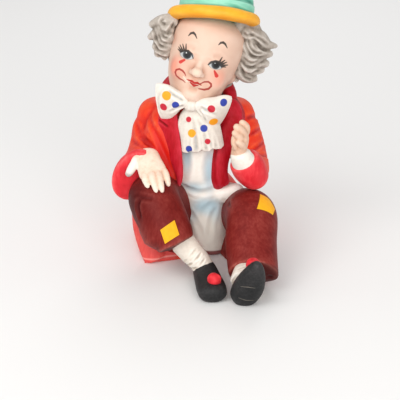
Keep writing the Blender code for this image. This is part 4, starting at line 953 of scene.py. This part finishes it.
def makeCoat():
    coat = clay("coat", coatForms() + sleeveForms(), coatSettings["voxel"], 8)
    pressLines(coat, [
        ([(-33.4, -3, 66), (-30.0, -12.7, 62.6), (-26.0, -22.8, 60)], 1.4, 0.9),
        ([(-35, -8, 59), (-31.7, -16, 58.8), (-26.3, -26, 59.4)], 1.2, 0.7),
        ([(-25.6, -10, 72), (-21.5, -21.9, 65.1), (-16.6, -25.2, 54.4), (-13, -25.3, 43)], 1.5, 1.0),
        ([(-28, -15, 62.4), (-22.4, -26, 57.8), (-17.2, -25.7, 49.4)], 1.3, 0.8),
        ([(-19.5, -24, 52), (-17.4, -26, 45), (-15.4, -26, 38)], 1.2, 0.6),
        ([(23.2, -9.5, 69.6), (27.1, -2.8, 68.7), (30, 3, 66)], 1.1, 0.8),
        ([(24.6, -13.5, 62.4), (28.5, -9.2, 63.4), (31, -2, 62)], 1.1, 0.9),
        ([(25.4, -21.6, 57), (29.6, -17.2, 58.0), (33, -8, 57)], 1.1, 0.9),
        ([(27.6, -30, 58.6), (31, -23.5, 55.3), (34, -16, 52)], 1.1, 0.9),
        ([(-4, 17, 66), (-3, 19, 44), (-2, 25, 24), (-1, 33, 8)], 1.2, 1.3),
        ([(-14, 14, 52), (-18, 20, 30), (-22, 29, 8)], 2.4, 1.0),
        ([(11, 14, 52), (16, 20, 30), (20, 30, 8)], 2.4, 1.0),
    ])
    markFolds(coat, 22, 0.6)
    oranges = coatSettings["tones"]
    paint, tone, brush = shadedWash("coat orange", oranges, streak=(1.2, 1.2, 3.5), streakSize=1.5)
    red = paint.blot((-17, -22, 56), 3.0, 14.0, (0.9, 1.6, 1.8))
    tone = paint.blend(red * 0.8, tone, colour(coatSettings["red"]))
    tail = paint.patch([(-44, -36, 42), (-12, -36, 42), (-12, -36, -2), (-44, -36, -2)], 21.0)
    tail = paint.ease(tail, 2.5, -1.5)
    pinks = paint.blend(brush, colour(coatSettings["tail"]), colour(coatSettings["tailLight"]))
    tone = paint.blend(tail * 0.85, tone, pinks)
    edge = paint.ease((paint.spot.rise() - 3.0).size(), 0.7, 0.2) * tail
    tone = paint.blend(edge * 0.7, tone, colour("F5A29A"))
    shade = paint.blot((17, -8, 42), 3.0, 9.0)
    tone = paint.blend(shade * 0.8, tone, colour("5C3A20"))
    keepPiece(coat, paint.finish(tone, strokes=brush))
    print("coat made")


lapelSettings = {"voxel": 0.46, "tones": "5E0006 8E0610 B11220 C6283A DA4A58"}


def makeLapels():
    left = [
        (-15.4, -18.5, 79, 4.0, 1.8), (-15.6, -20.6, 72, 5.2, 1.9), (-14.4, -22.6, 65, 4.9, 1.8),
        (-12.4, -24.2, 57, 3.9, 1.7), (-10.9, -25.2, 50, 2.8, 1.6), (-10.0, -25.6, 43.5, 1.6, 1.4),
        (-10.9, -25.4, 38.5, 0.8, 1.1),
    ]
    frontRight = [
        (13, -6, 81, 6, 9), (15, -8, 71, 8.0, 11.5), (12.0, -10, 60, 6.6, 12.5),
        (9.0, -12, 50, 5.2, 12.0), (8.6, -13, 42, 5.0, 11.5), (10.5, -13, 35, 6.0, 10.5),
    ]
    right = [
        (14.6, -11.0, 80, 3.2, 1.6), (17.0, -15.6, 74, 4.2, 1.8), (14.6, -19.8, 64, 5.0, 1.8),
        (11.4, -22.6, 54, 3.6, 1.7), (10.8, -23.4, 45, 3.2, 1.6), (12.4, -22.6, 38.5, 3.8, 1.5),
    ]
    collar = [
        (-15.5, -15, 79, 3.0, 3.0), (-16.5, -5, 83, 3.4, 3.4), (-12, 6, 85, 3.8, 3.8), (-1, 11, 86, 4.0, 4.0),
        (10, 7, 85, 3.8, 3.8), (14.6, -3, 81.5, 3.2, 3.4), (15.4, -11, 78, 2.6, 2.8),
    ]
    stand = [
        (-14, -7, 76.5, 3.4, 3.0), (-14, -1, 78.0, 4.0, 3.6), (-9, 6, 79.0, 4.8, 4.4), (-1, 9, 79.5, 5.0, 4.6),
        (8, 6, 79.0, 4.8, 4.4), (12.5, 0, 77.5, 4.2, 3.6), (13.5, -6, 76, 3.4, 3.0),
    ]
    lapels = clay("lapels", [
        loft(left, side=(1, -0.35, 0), ends=(0.1, 0.12), rings=40, sides=32),
        loft(right, side=(1, 0.35, 0), ends=(0.1, 0.12), rings=40, sides=32),
        loft(frontRight, ends=(0.3, 0.15), rings=40, sides=40),
        loft(collar, side=(0, 0, 1), ends=(0.1, 0.1), rings=48, sides=32),
        loft(stand, side=(0, 0, 1), ends=(0.1, 0.1), rings=48, sides=32),
    ], lapelSettings["voxel"], 4)
    notch = [(-21.0, -22, 73.9), (-18.2, -23, 71.8), (-15.4, -24, 69.9)]
    pressLines(lapels, [(notch, 0.5, 0.7)], facing=(0, -0.927, 0.375))
    markFolds(lapels, 16, 0.5)
    crimsons = lapelSettings["tones"]
    keepShadedWash(lapels, "lapel crimson", crimsons, gloss=0.15, streak=(1, 1, 4), streakSize=1.2, spread=0.45)
    print("lapels made")


cuffSettings = {
    "voxel": 0.46, "tones": "8C0410 C4141F DC2833 EC4C50 F98482",
    "linenVoxel": 0.32, "linenTones": "B9A99A D8CEC2 EBE5DB F3EFE8 F8F5F0",
}


def makeCuffs():
    wide = coatSettings["sleeveRadius"]
    resting = [
        (-31.4, -22.5, 47.0, 0.82 * wide, 1.22 * wide), (-32.0, -26, 46.2, 0.85 * wide, 1.28 * wide),
        (-32.6, -30, 45.4, 0.80 * wide, 1.22 * wide),
    ]
    raised = [
        (29.2, -29.5, 42.2, 0.40 * wide, 0.46 * wide), (27.0, -31.0, 46.4, 0.58 * wide, 0.60 * wide),
        (23.6, -33.2, 52.2, 0.68 * wide, 0.66 * wide), (20.2, -35.3, 58.2, 0.60 * wide, 0.56 * wide),
    ]
    cuffs = clay("coat_cuffs", [
        loft(resting, side=(1, 0.25, -0.5), ends=(0.3, 0.25), rings=40, sides=72),
        loft(raised, side=(1, 0, 0.6), ends=(0.3, 0.12), rings=40, sides=56),
    ], cuffSettings["voxel"], 4)
    markFolds(cuffs, 16, 0.5)
    reds = cuffSettings["tones"]
    keepShadedWash(cuffs, "cuff red", reds, 0.45, 0.25, streak=(1.0, 1.0, 3.5), streakSize=1.5, spread=0.45)
    linen = [(23.4, -33.2, 52.4, 3.6, 3.4), (22.2, -35.4, 54.6, 6.0, 5.2), (20.2, -37.0, 58.2, 5.6, 5.2),
             (18.9, -37.6, 62.6, 4.5, 4.5)]
    sleeve = loft(linen, ends=(0.3, 0.15), rings=30, sides=40)
    shirtCuff = clay("shirt_cuff", [sleeve], cuffSettings["linenVoxel"], 3)
    markFolds(shirtCuff, 12, 0.4)
    keepShadedWash(shirtCuff, "cuff linen", cuffSettings["linenTones"], 0.55, spread=0.45)
    print("cuffs made")


# the resting hand's tones are the skin as lit, the raised hand's the same skin in painted shade
handSettings = {
    "fingerRadius": 2.05, "voxel": 0.28, "litRestingTones": "BC8C72 E0BBA2 F0D6C2 F8E4D4 FDF0E4",
    "shadedRaisedTones": "A57458 C89A7C DDB79E E8C9B2 F0D8C6",
}


def fingerForms(fingers, shares, side=(1, 0, 0)):
    # each finger runs from root to joint to tip, with its own share of the radius
    forms = []
    for root, joint, tip, size in fingers:
        radii = [handSettings["fingerRadius"] * size * share for share in shares]
        rows = [point + (radius, radius) for point, radius in zip((root, joint, tip), radii)]
        forms.append(loft(rows, side=side, ends=(0.2, 0.2), rings=24, sides=20))
    return forms


def makeHands():
    palm = [(-25.8, -24.0, 57.0, 4.8, 3.4), (-25.6, -28.4, 56.2, 5.8, 3.8), (-24.6, -32.0, 54.0, 6.3, 4.0),
            (-22.8, -36.0, 51.0, 6.8, 3.4), (-21.4, -40.0, 48.4, 6.4, 2.4)]
    fingers = [
        ((-26.2, -35.0, 50.8), (-26.3, -40.0, 49.2), (-24.6, -44.2, 46.0), 0.86),
        ((-23.4, -36.0, 51.2), (-22.5, -41.5, 49.6), (-20.6, -46.4, 44.4), 0.9),
        ((-20.6, -36.0, 51.4), (-19.3, -41.5, 49.6), (-17.8, -46.0, 44.2), 0.88),
        ((-18.2, -34.5, 51.8), (-16.4, -38.8, 50.4), (-14.8, -42.4, 46.0), 0.86),
        ((-29.2, -28.8, 57.2), (-31.4, -32.6, 54.6), (-33.6, -34.4, 51.2), 1.05),
        ((-31.4, -32.6, 54.6), (-33.6, -34.4, 51.2), (-35.4, -34.8, 48.4), 0.95),
    ]
    forms = [loft(palm, side=(1, 0.1, 0.2), ends=(0.2, 0.25), rings=30, sides=40),
             egg(Vector((-27.9, -29.5, 56.2)), (3.4, 3.4, 2.8))]
    forms += fingerForms(fingers, (1.15, 1.05, 0.62))
    resting = clay("hand_resting", forms, handSettings["voxel"], 14)
    fist = [(18.0, -35.6, 57.6, 3.6, 3.6), (18.6, -37.2, 62.6, 3.6, 4.0), (19.4, -38.4, 68.0, 3.8, 4.2),
            (20.4, -38.6, 72.6, 3.2, 3.8)]
    curled = [
        ((21.4, -37.6, 70.6), (21.6, -38.2, 74.6), (18.9, -39.6, 78.0), 0.98),
        ((21.6, -38.6, 69.4), (19.2, -41.0, 74.0), (15.9, -41.4, 76.5), 0.98),
        ((20.6, -39.6, 67.0), (18.2, -42.0, 71.4), (15.2, -42.2, 73.8), 0.94),
        ((17.0, -40.6, 71.6), (16.4, -41.0, 68.0), (17.2, -40.0, 63.6), 0.9),
        ((20.8, -39.4, 64.6), (19.2, -42.2, 67.6), (16.9, -43.2, 69.6), 0.86),
    ]
    forms = [loft(fist, side=(1, 0, 0.2), ends=(0.2, 0.25), rings=30, sides=40)]
    forms += fingerForms(curled, (1, 1, 0.72), side=(0, 1, 0.2))
    raised = clay("hand_raised", forms, handSettings["voxel"], 10)
    for piece, tones in ((resting, "litRestingTones"), (raised, "shadedRaisedTones")):
        markFolds(piece, 12, 0.4)
        name = piece.name.replace("_", " ") + " skin"
        paint, tone = shadedWash(name, handSettings[tones], spread=0.45)[:2]
        if piece == resting:
            # painted light whitens the thumb, and painted shade greys its tip
            thumbHighlight = paint.blot((-33.6, -34.4, 52.2), 3.4, 4.6, (1.0, 1.2, 1.6))
            tone = paint.blend(thumbHighlight * 0.8, tone, colour("F0EBE4"))
            tone = paint.blend(paint.blot((-35.6, -36.6, 48.4), 1.2, 3.4) * 0.75, tone, colour("8E8A86"))
        keepPiece(piece, paint.finish(tone))
    print("hands made")


trouserSettings = {
    "radius": 12.4, "voxel": 0.54, "hemDrop": 3.6, "hemLift": 3.6,
    "tones": "340204 5A0C0B 7A211D 923A33 AC5E54", "speck": "D8A8A0",
    "patch": "F0A010", "patchLight": "FFC028",
}


def makeTrousers():
    wide = trouserSettings["radius"]
    tucked = [
        (-8, 2, 15, 1.05 * wide, 1.1 * wide), (-14.5, -12, 23, 1.05 * wide, 1.08 * wide),
        (-20.5, -25, 32.5, 1.03 * wide, 1.05 * wide), (-22.6, -34, 36.5, wide, wide),
        (-18.8, -42.2, 30.4, 0.99 * wide, 0.98 * wide), (-14.8, -48.2, 21.8, 0.97 * wide, 0.93 * wide),
        (-12.2, -50.6, 17.6, 0.86 * wide, 0.86 * wide),
    ]
    stretched = [
        (15, 3, 15, 0.9 * wide, 1.0 * wide), (19.4, -12, 20, 0.86 * wide, 0.98 * wide),
        (23.2, -26, 25.6, 0.94 * wide, 1.0 * wide), (25.2, -38, 27.8, 1.01 * wide, 1.02 * wide),
        (24.6, -50, 19.4, 1.0 * wide, 0.98 * wide), (25.4, -62.8, 9.6, 0.96 * wide, 0.97 * wide),
    ]
    leftSeat = [(-12, -8, -3, 14, 14), (-15, -16, 10, 12, 13), (-17, -24, 22, 9, 10)]
    rightSeat = [(20, -8, -3, 14, 14), (24, -26, 6, 10.5, 17), (25, -34, 16, 9, 14)]
    underKnee = [(26, -42, -2, 8.5, 11), (26, -48, 6, 8.0, 10), (25.5, -50, 12, 7, 8)]
    forms = [
        loft(tucked, side=(1, -0.2, 0), ends=(0.15, 0.03), rings=70, sides=60),
        loft(leftSeat, ends=(0.08, 0.3), rings=30, sides=40),
        loft(stretched, ends=(0.15, 0.03), rings=70, sides=60),
        loft(rightSeat, ends=(0.08, 0.3), rings=30, sides=40),
        loft(underKnee, ends=(0.08, 0.3), rings=24, sides=32),
    ]
    trousers = clay("trousers", forms, trouserSettings["voxel"], 6)
    # the hems' outer corners, drawn down on one leg and up on the other
    place = readMesh(trousers)[0]
    drop = np.clip((place[:, 0] - 24) / 12, 0, 1) * np.clip((-52 - place[:, 1]) / 9, 0, 1)
    near = (place - np.array((-12.2, -50.6, 17.6))) @ np.array((0.34, -0.45, -0.83))
    lift = np.clip((-12 - place[:, 0]) / 10, 0, 1) * np.clip((near + 7) / 7, 0, 1) * (place[:, 1] < -36)
    place += np.outer(drop, (0, -0.79, -0.61)) * trouserSettings["hemDrop"]
    writeMesh(trousers, place + np.outer(lift, (0.55, 0.2, 0.8)) * trouserSettings["hemLift"])
    pressLines(trousers, [
        ([(-28.4, -45.6, 41), (-30.0, -46.4, 37.6), (-28.1, -49.5, 32)], 1.2, 0.9),
        ([(-34, -26, 30), (-30, -42, 27), (-25, -50, 25)], 1.4, 0.9),
        ([(-31, -40, 40), (-27, -46, 42), (-22, -48, 42)], 1.3, 0.5),
        ([(13, -32, 34), (17, -42, 33), (19, -50, 29)], 1.3, 0.7),
        ([(12, -38, 20), (16, -50, 18), (19, -60, 16)], 1.3, 0.8),
        ([(14, -46, 13), (18, -56, 12), (22, -64, 12)], 1.2, 0.7),
        ([(30, -58, 22), (33, -62, 14), (33, -66, 8)], 1.2, 0.5),
    ])
    markFolds(trousers, 20, 0.6)
    browns, speck = trouserSettings["tones"], trouserSettings["speck"]
    paint, tone, brush = shadedWash("trouser red brown", browns, streak=(1, 1, 4), streakSize=1.2,
                                speck=speck, spread=0.45)
    # painted shade on the left side of the tucked leg and on its knee
    shade = paint.blot((-33, -40, 36), 2.0, 19.0)
    tone = paint.blend(shade * 0.8, tone, colour("3A0304"))
    tone = paint.blend(paint.blot((-21, -50, 34), 2.0, 15.0) * 0.5, tone, colour("5C0604"))
    leftPatch = [(-18.8, -55.7, 29.1), (-12.1, -52.7, 32.9), (-9.8, -56.4, 27.0), (-16.6, -58.1, 23.0)]
    rightPatch = [(28.6, -36.2, 39.1), (33.6, -36.5, 37.4), (36.2, -39.5, 32.9), (34.5, -45.3, 31.9),
                  (26.8, -47.5, 36.2)]
    patches = paint.patch(leftPatch).least(paint.patch(rightPatch))
    yellow = paint.blend(brush, colour(trouserSettings["patch"]), colour(trouserSettings["patchLight"]))
    tone = paint.blend(paint.ease(patches, 0.6, 0.25) * 0.5, tone, colour("4A0C08"))
    tone = paint.blend(paint.ease(patches, 0.15, -0.15), tone, yellow)
    for axis, centre in [  # painted shade inside the hems
            ((0.33, -0.44, -0.83), (-12.2, -50.6, 17.6)), ((0.05, -0.79, -0.61), (25.4, -62.8, 9.6))]:
        inside = paint.ease(paint.along(axis, centre), -0.5, 0.1) * paint.blot(centre, 11.6, 12.2)
        tone = paint.blend(inside * 0.75, tone, colour("2C0506"))
    keepPiece(trousers, paint.finish(tone, gloss=0.15, strokes=brush))
    print("trousers made")


sockSettings = {"ankleRadius": 5.8, "voxel": 0.38, "tones": "AFA091 D0C4B6 E6DCCF F0E9DF F7F3EC"}


def makeSocks():
    ankle = sockSettings["ankleRadius"]
    tucked = [(-10.0, -47, 21, 1.1 * ankle, 1.1 * ankle), (-4.6, -50.0, 15.6, 1.02 * ankle, 1.05 * ankle),
              (-0.2, -51.5, 11.0, 0.92 * ankle, ankle), (2.4, -52.0, 6.5, 0.9 * ankle, 0.95 * ankle)]
    stretched = [(25.5, -58, 12, 1.1 * ankle, 1.1 * ankle), (21.5, -68, 12, 1.05 * ankle, 1.05 * ankle),
                 (19.2, -75, 10, 0.95 * ankle, 0.95 * ankle)]
    socks = clay("socks", [
        loft(tucked, ends=(0.15, 0.15), rings=50, sides=48),
        loft(stretched, ends=(0.15, 0.2), rings=50, sides=48),
    ], sockSettings["voxel"], 3)
    wrinkles = []
    for step, depth in enumerate([0.5, 0.8, 0.6, 0.8, 0.5]):
        tuckedFold = [(-9 + 2.4 * step, -52 - step, 10 - step),
                      (-5.6 + 2.4 * step, -57 - 0.6 * step, 15 - 2.0 * step),
                      (-0.6 + 2.0 * step, -54 - 0.6 * step, 20 - 2.4 * step)]
        stretchedFold = [(15 - 0.6 * step, -68 - 1.4 * step, 8 - step),
                         (18.0 - 0.4 * step, -72 - 1.2 * step, 16 - step),
                         (24.0, -70 - 1.2 * step, 17 - step)]
        wrinkles += [(tuckedFold, 0.6, depth), (stretchedFold, 0.6, depth)]
    pressLines(socks, wrinkles)
    markFolds(socks, 12, 0.4)
    keepShadedWash(socks, "sock cream", sockSettings["tones"], 0.55, spread=0.45)
    print("socks made")


shoeSettings = {
    "halfWidth": 6.6, "voxel": 0.38, "tones": "08090A 161718 272728 3C3A3B 585452",
    "speck": "9A948C", "soleHighlight": "B0A79A",
}


def makeShoes():
    wide = shoeSettings["halfWidth"]
    tucked = [(1.4, -46.0, 5.5, 0.80 * wide, 4.6), (2.4, -52.6, 6.0, 0.88 * wide, 6.2),
              (4.0, -60.5, 5.0, 1.0 * wide, 5.4), (5.4, -68.0, 4.4, 1.08 * wide, 4.8),
              (6.4, -76.0, 4.0, 0.96 * wide, 4.4)]
    stretched = [(19.0, -74.2, -0.5, 0.74 * wide, 3.8), (20.4, -75.8, 4.6, 1.02 * wide, 4.4),
                 (22.4, -78.0, 10.4, 1.10 * wide, 4.4), (24.0, -80.4, 16.0, 0.94 * wide, 3.8),
                 (25.2, -82.4, 21.0, 0.66 * wide, 3.2), (25.8, -84.2, 25.6, 0.26 * wide, 2.2)]
    shoes = clay("shoes", [
        loft(tucked, side=(1, 0.15, 0), ends=(0.2, 0.13), rings=50, sides=48),
        loft(stretched, side=(1, 0, -0.35), ends=(0.2, 0.12), rings=50, sides=48),
    ], shoeSettings["voxel"], 5)
    markFolds(shoes, 16, 0.5)
    blacks, speck = shoeSettings["tones"], shoeSettings["speck"]
    paint, tone, brush = shadedWash("shoe black", blacks, streakSize=1.2, speck=speck, spread=0.4)
    sole = paint.flat((1, 0, 0), (0, 0, 1), (0, 0, 0))
    # two painted highlight lines across the stretched shoe's sole
    soleHighlight = paint.stroke(sole, [(18.6, 12.5, 0.05), (22.0, 12.7, 0.13), (25.2, 12.2, 0.05)])
    soleHighlight = soleHighlight.least(paint.stroke(sole, [(17.8, 5.8, 0.05), (21.0, 4.7, 0.12), (24.8, 4.4, 0.05)]))
    soleHighlight = paint.ease(soleHighlight, 0.1, -0.1) * paint.ease(paint.along((0, 1, 0), (0, -79, 0)), 0.5, -0.5)
    tone = paint.blend(soleHighlight * 0.5, tone, colour(shoeSettings["soleHighlight"]))
    keepPiece(shoes, paint.finish(tone, gloss=0.2, strokes=brush))
    print("shoes made")


pompomSettings = {"radius": 3.3, "voxel": 0.3, "tones": "8A0410 C41220 DC2430 EA3C42 F46060"}


def makePompoms():
    radius = pompomSettings["radius"]
    balls = [egg(Vector((6.6, -69.0, 9.4)), (radius,) * 3),
             egg(Vector((24.2, -78.8, 21.9)), (radius * 0.95,) * 3)]
    pompoms = clay("pompoms", balls, pompomSettings["voxel"], 2)
    roughen(pompoms, 1.6, 0.25)
    markFolds(pompoms, 12, 0.4)
    keepShadedWash(pompoms, "pompom red", pompomSettings["tones"], spread=0.4)
    print("pompoms made")


stageSettings = {"elevation": 22.0, "distance": 0.6, "aimHeight": 0.02165, "lens": 103.8}


def makeStage():
    shape = bmesh.new()
    bmesh.ops.create_grid(shape, x_segments=2, y_segments=2, size=4.0)
    mesh = bpy.data.meshes.new("table_top")
    shape.to_mesh(mesh)
    shape.free()
    floor = bpy.data.objects.new("table_top", mesh)
    bpy.context.scene.collection.objects.link(floor)
    paper = bpy.data.materials.new("pale paper")
    paper.use_nodes = True
    shader = paper.node_tree.nodes["Principled BSDF"]
    shader.inputs["Base Color"].default_value = (0.87, 0.87, 0.87, 1)
    shader.inputs["Roughness"].default_value = 0.9
    mesh.materials.append(paper)

    world = bpy.data.worlds.new("soft room")
    world.use_nodes = True
    world.node_tree.nodes["Background"].inputs["Color"].default_value = (1.0, 0.99, 0.98, 1)
    world.node_tree.nodes["Background"].inputs["Strength"].default_value = 0.55
    bpy.context.scene.world = world
    lamps = [
        ("window light", (-0.5, -0.6, 0.75), 0.7, 4.7, (1.0, 0.985, 0.96)),
        ("fill light", (0.25, -0.9, 0.42), 0.6, 3.2, (1.0, 0.98, 0.95)),
        ("bounce card", (0.05, -1.0, 0.2), 0.9, 2.3, (1.0, 0.99, 0.97)),
        ("back light", (0.1, 0.7, 0.7), 0.6, 2.0, (1.0, 1.0, 1.0)),
    ]
    for name, place, size, power, tint in lamps:
        light = bpy.data.lights.new(name, "AREA")
        light.size = size
        light.energy = power
        light.color = tint
        lamp = bpy.data.objects.new(name, light)
        lamp.location = place
        lamp.rotation_euler = (Vector((0, 0, 0.06)) - Vector(place)).to_track_quat("-Z", "Y").to_euler()
        bpy.context.scene.collection.objects.link(lamp)

    lift = math.radians(stageSettings["elevation"])
    aim = Vector((0, 0, stageSettings["aimHeight"]))
    lens = bpy.data.cameras.new("camera")
    lens.lens = stageSettings["lens"]
    lens.sensor_width = 36.0
    lens.clip_start = 0.01
    camera = bpy.data.objects.new("camera", lens)
    camera.location = aim + Vector((0, -math.cos(lift), math.sin(lift))) * stageSettings["distance"]
    camera.rotation_euler = (aim - camera.location).to_track_quat("-Z", "Y").to_euler()
    bpy.context.scene.collection.objects.link(camera)
    bpy.context.scene.camera = camera
    bpy.context.scene.view_settings.view_transform = "Standard"
    print("stage and camera set")


makeStage()
makeHat()
makeHead()
makeHair()
makeBow()
makeShirt()
makeCoat()
makeLapels()
makeCuffs()
makeHands()
makeTrousers()
makeSocks()
makeShoes()
makePompoms()
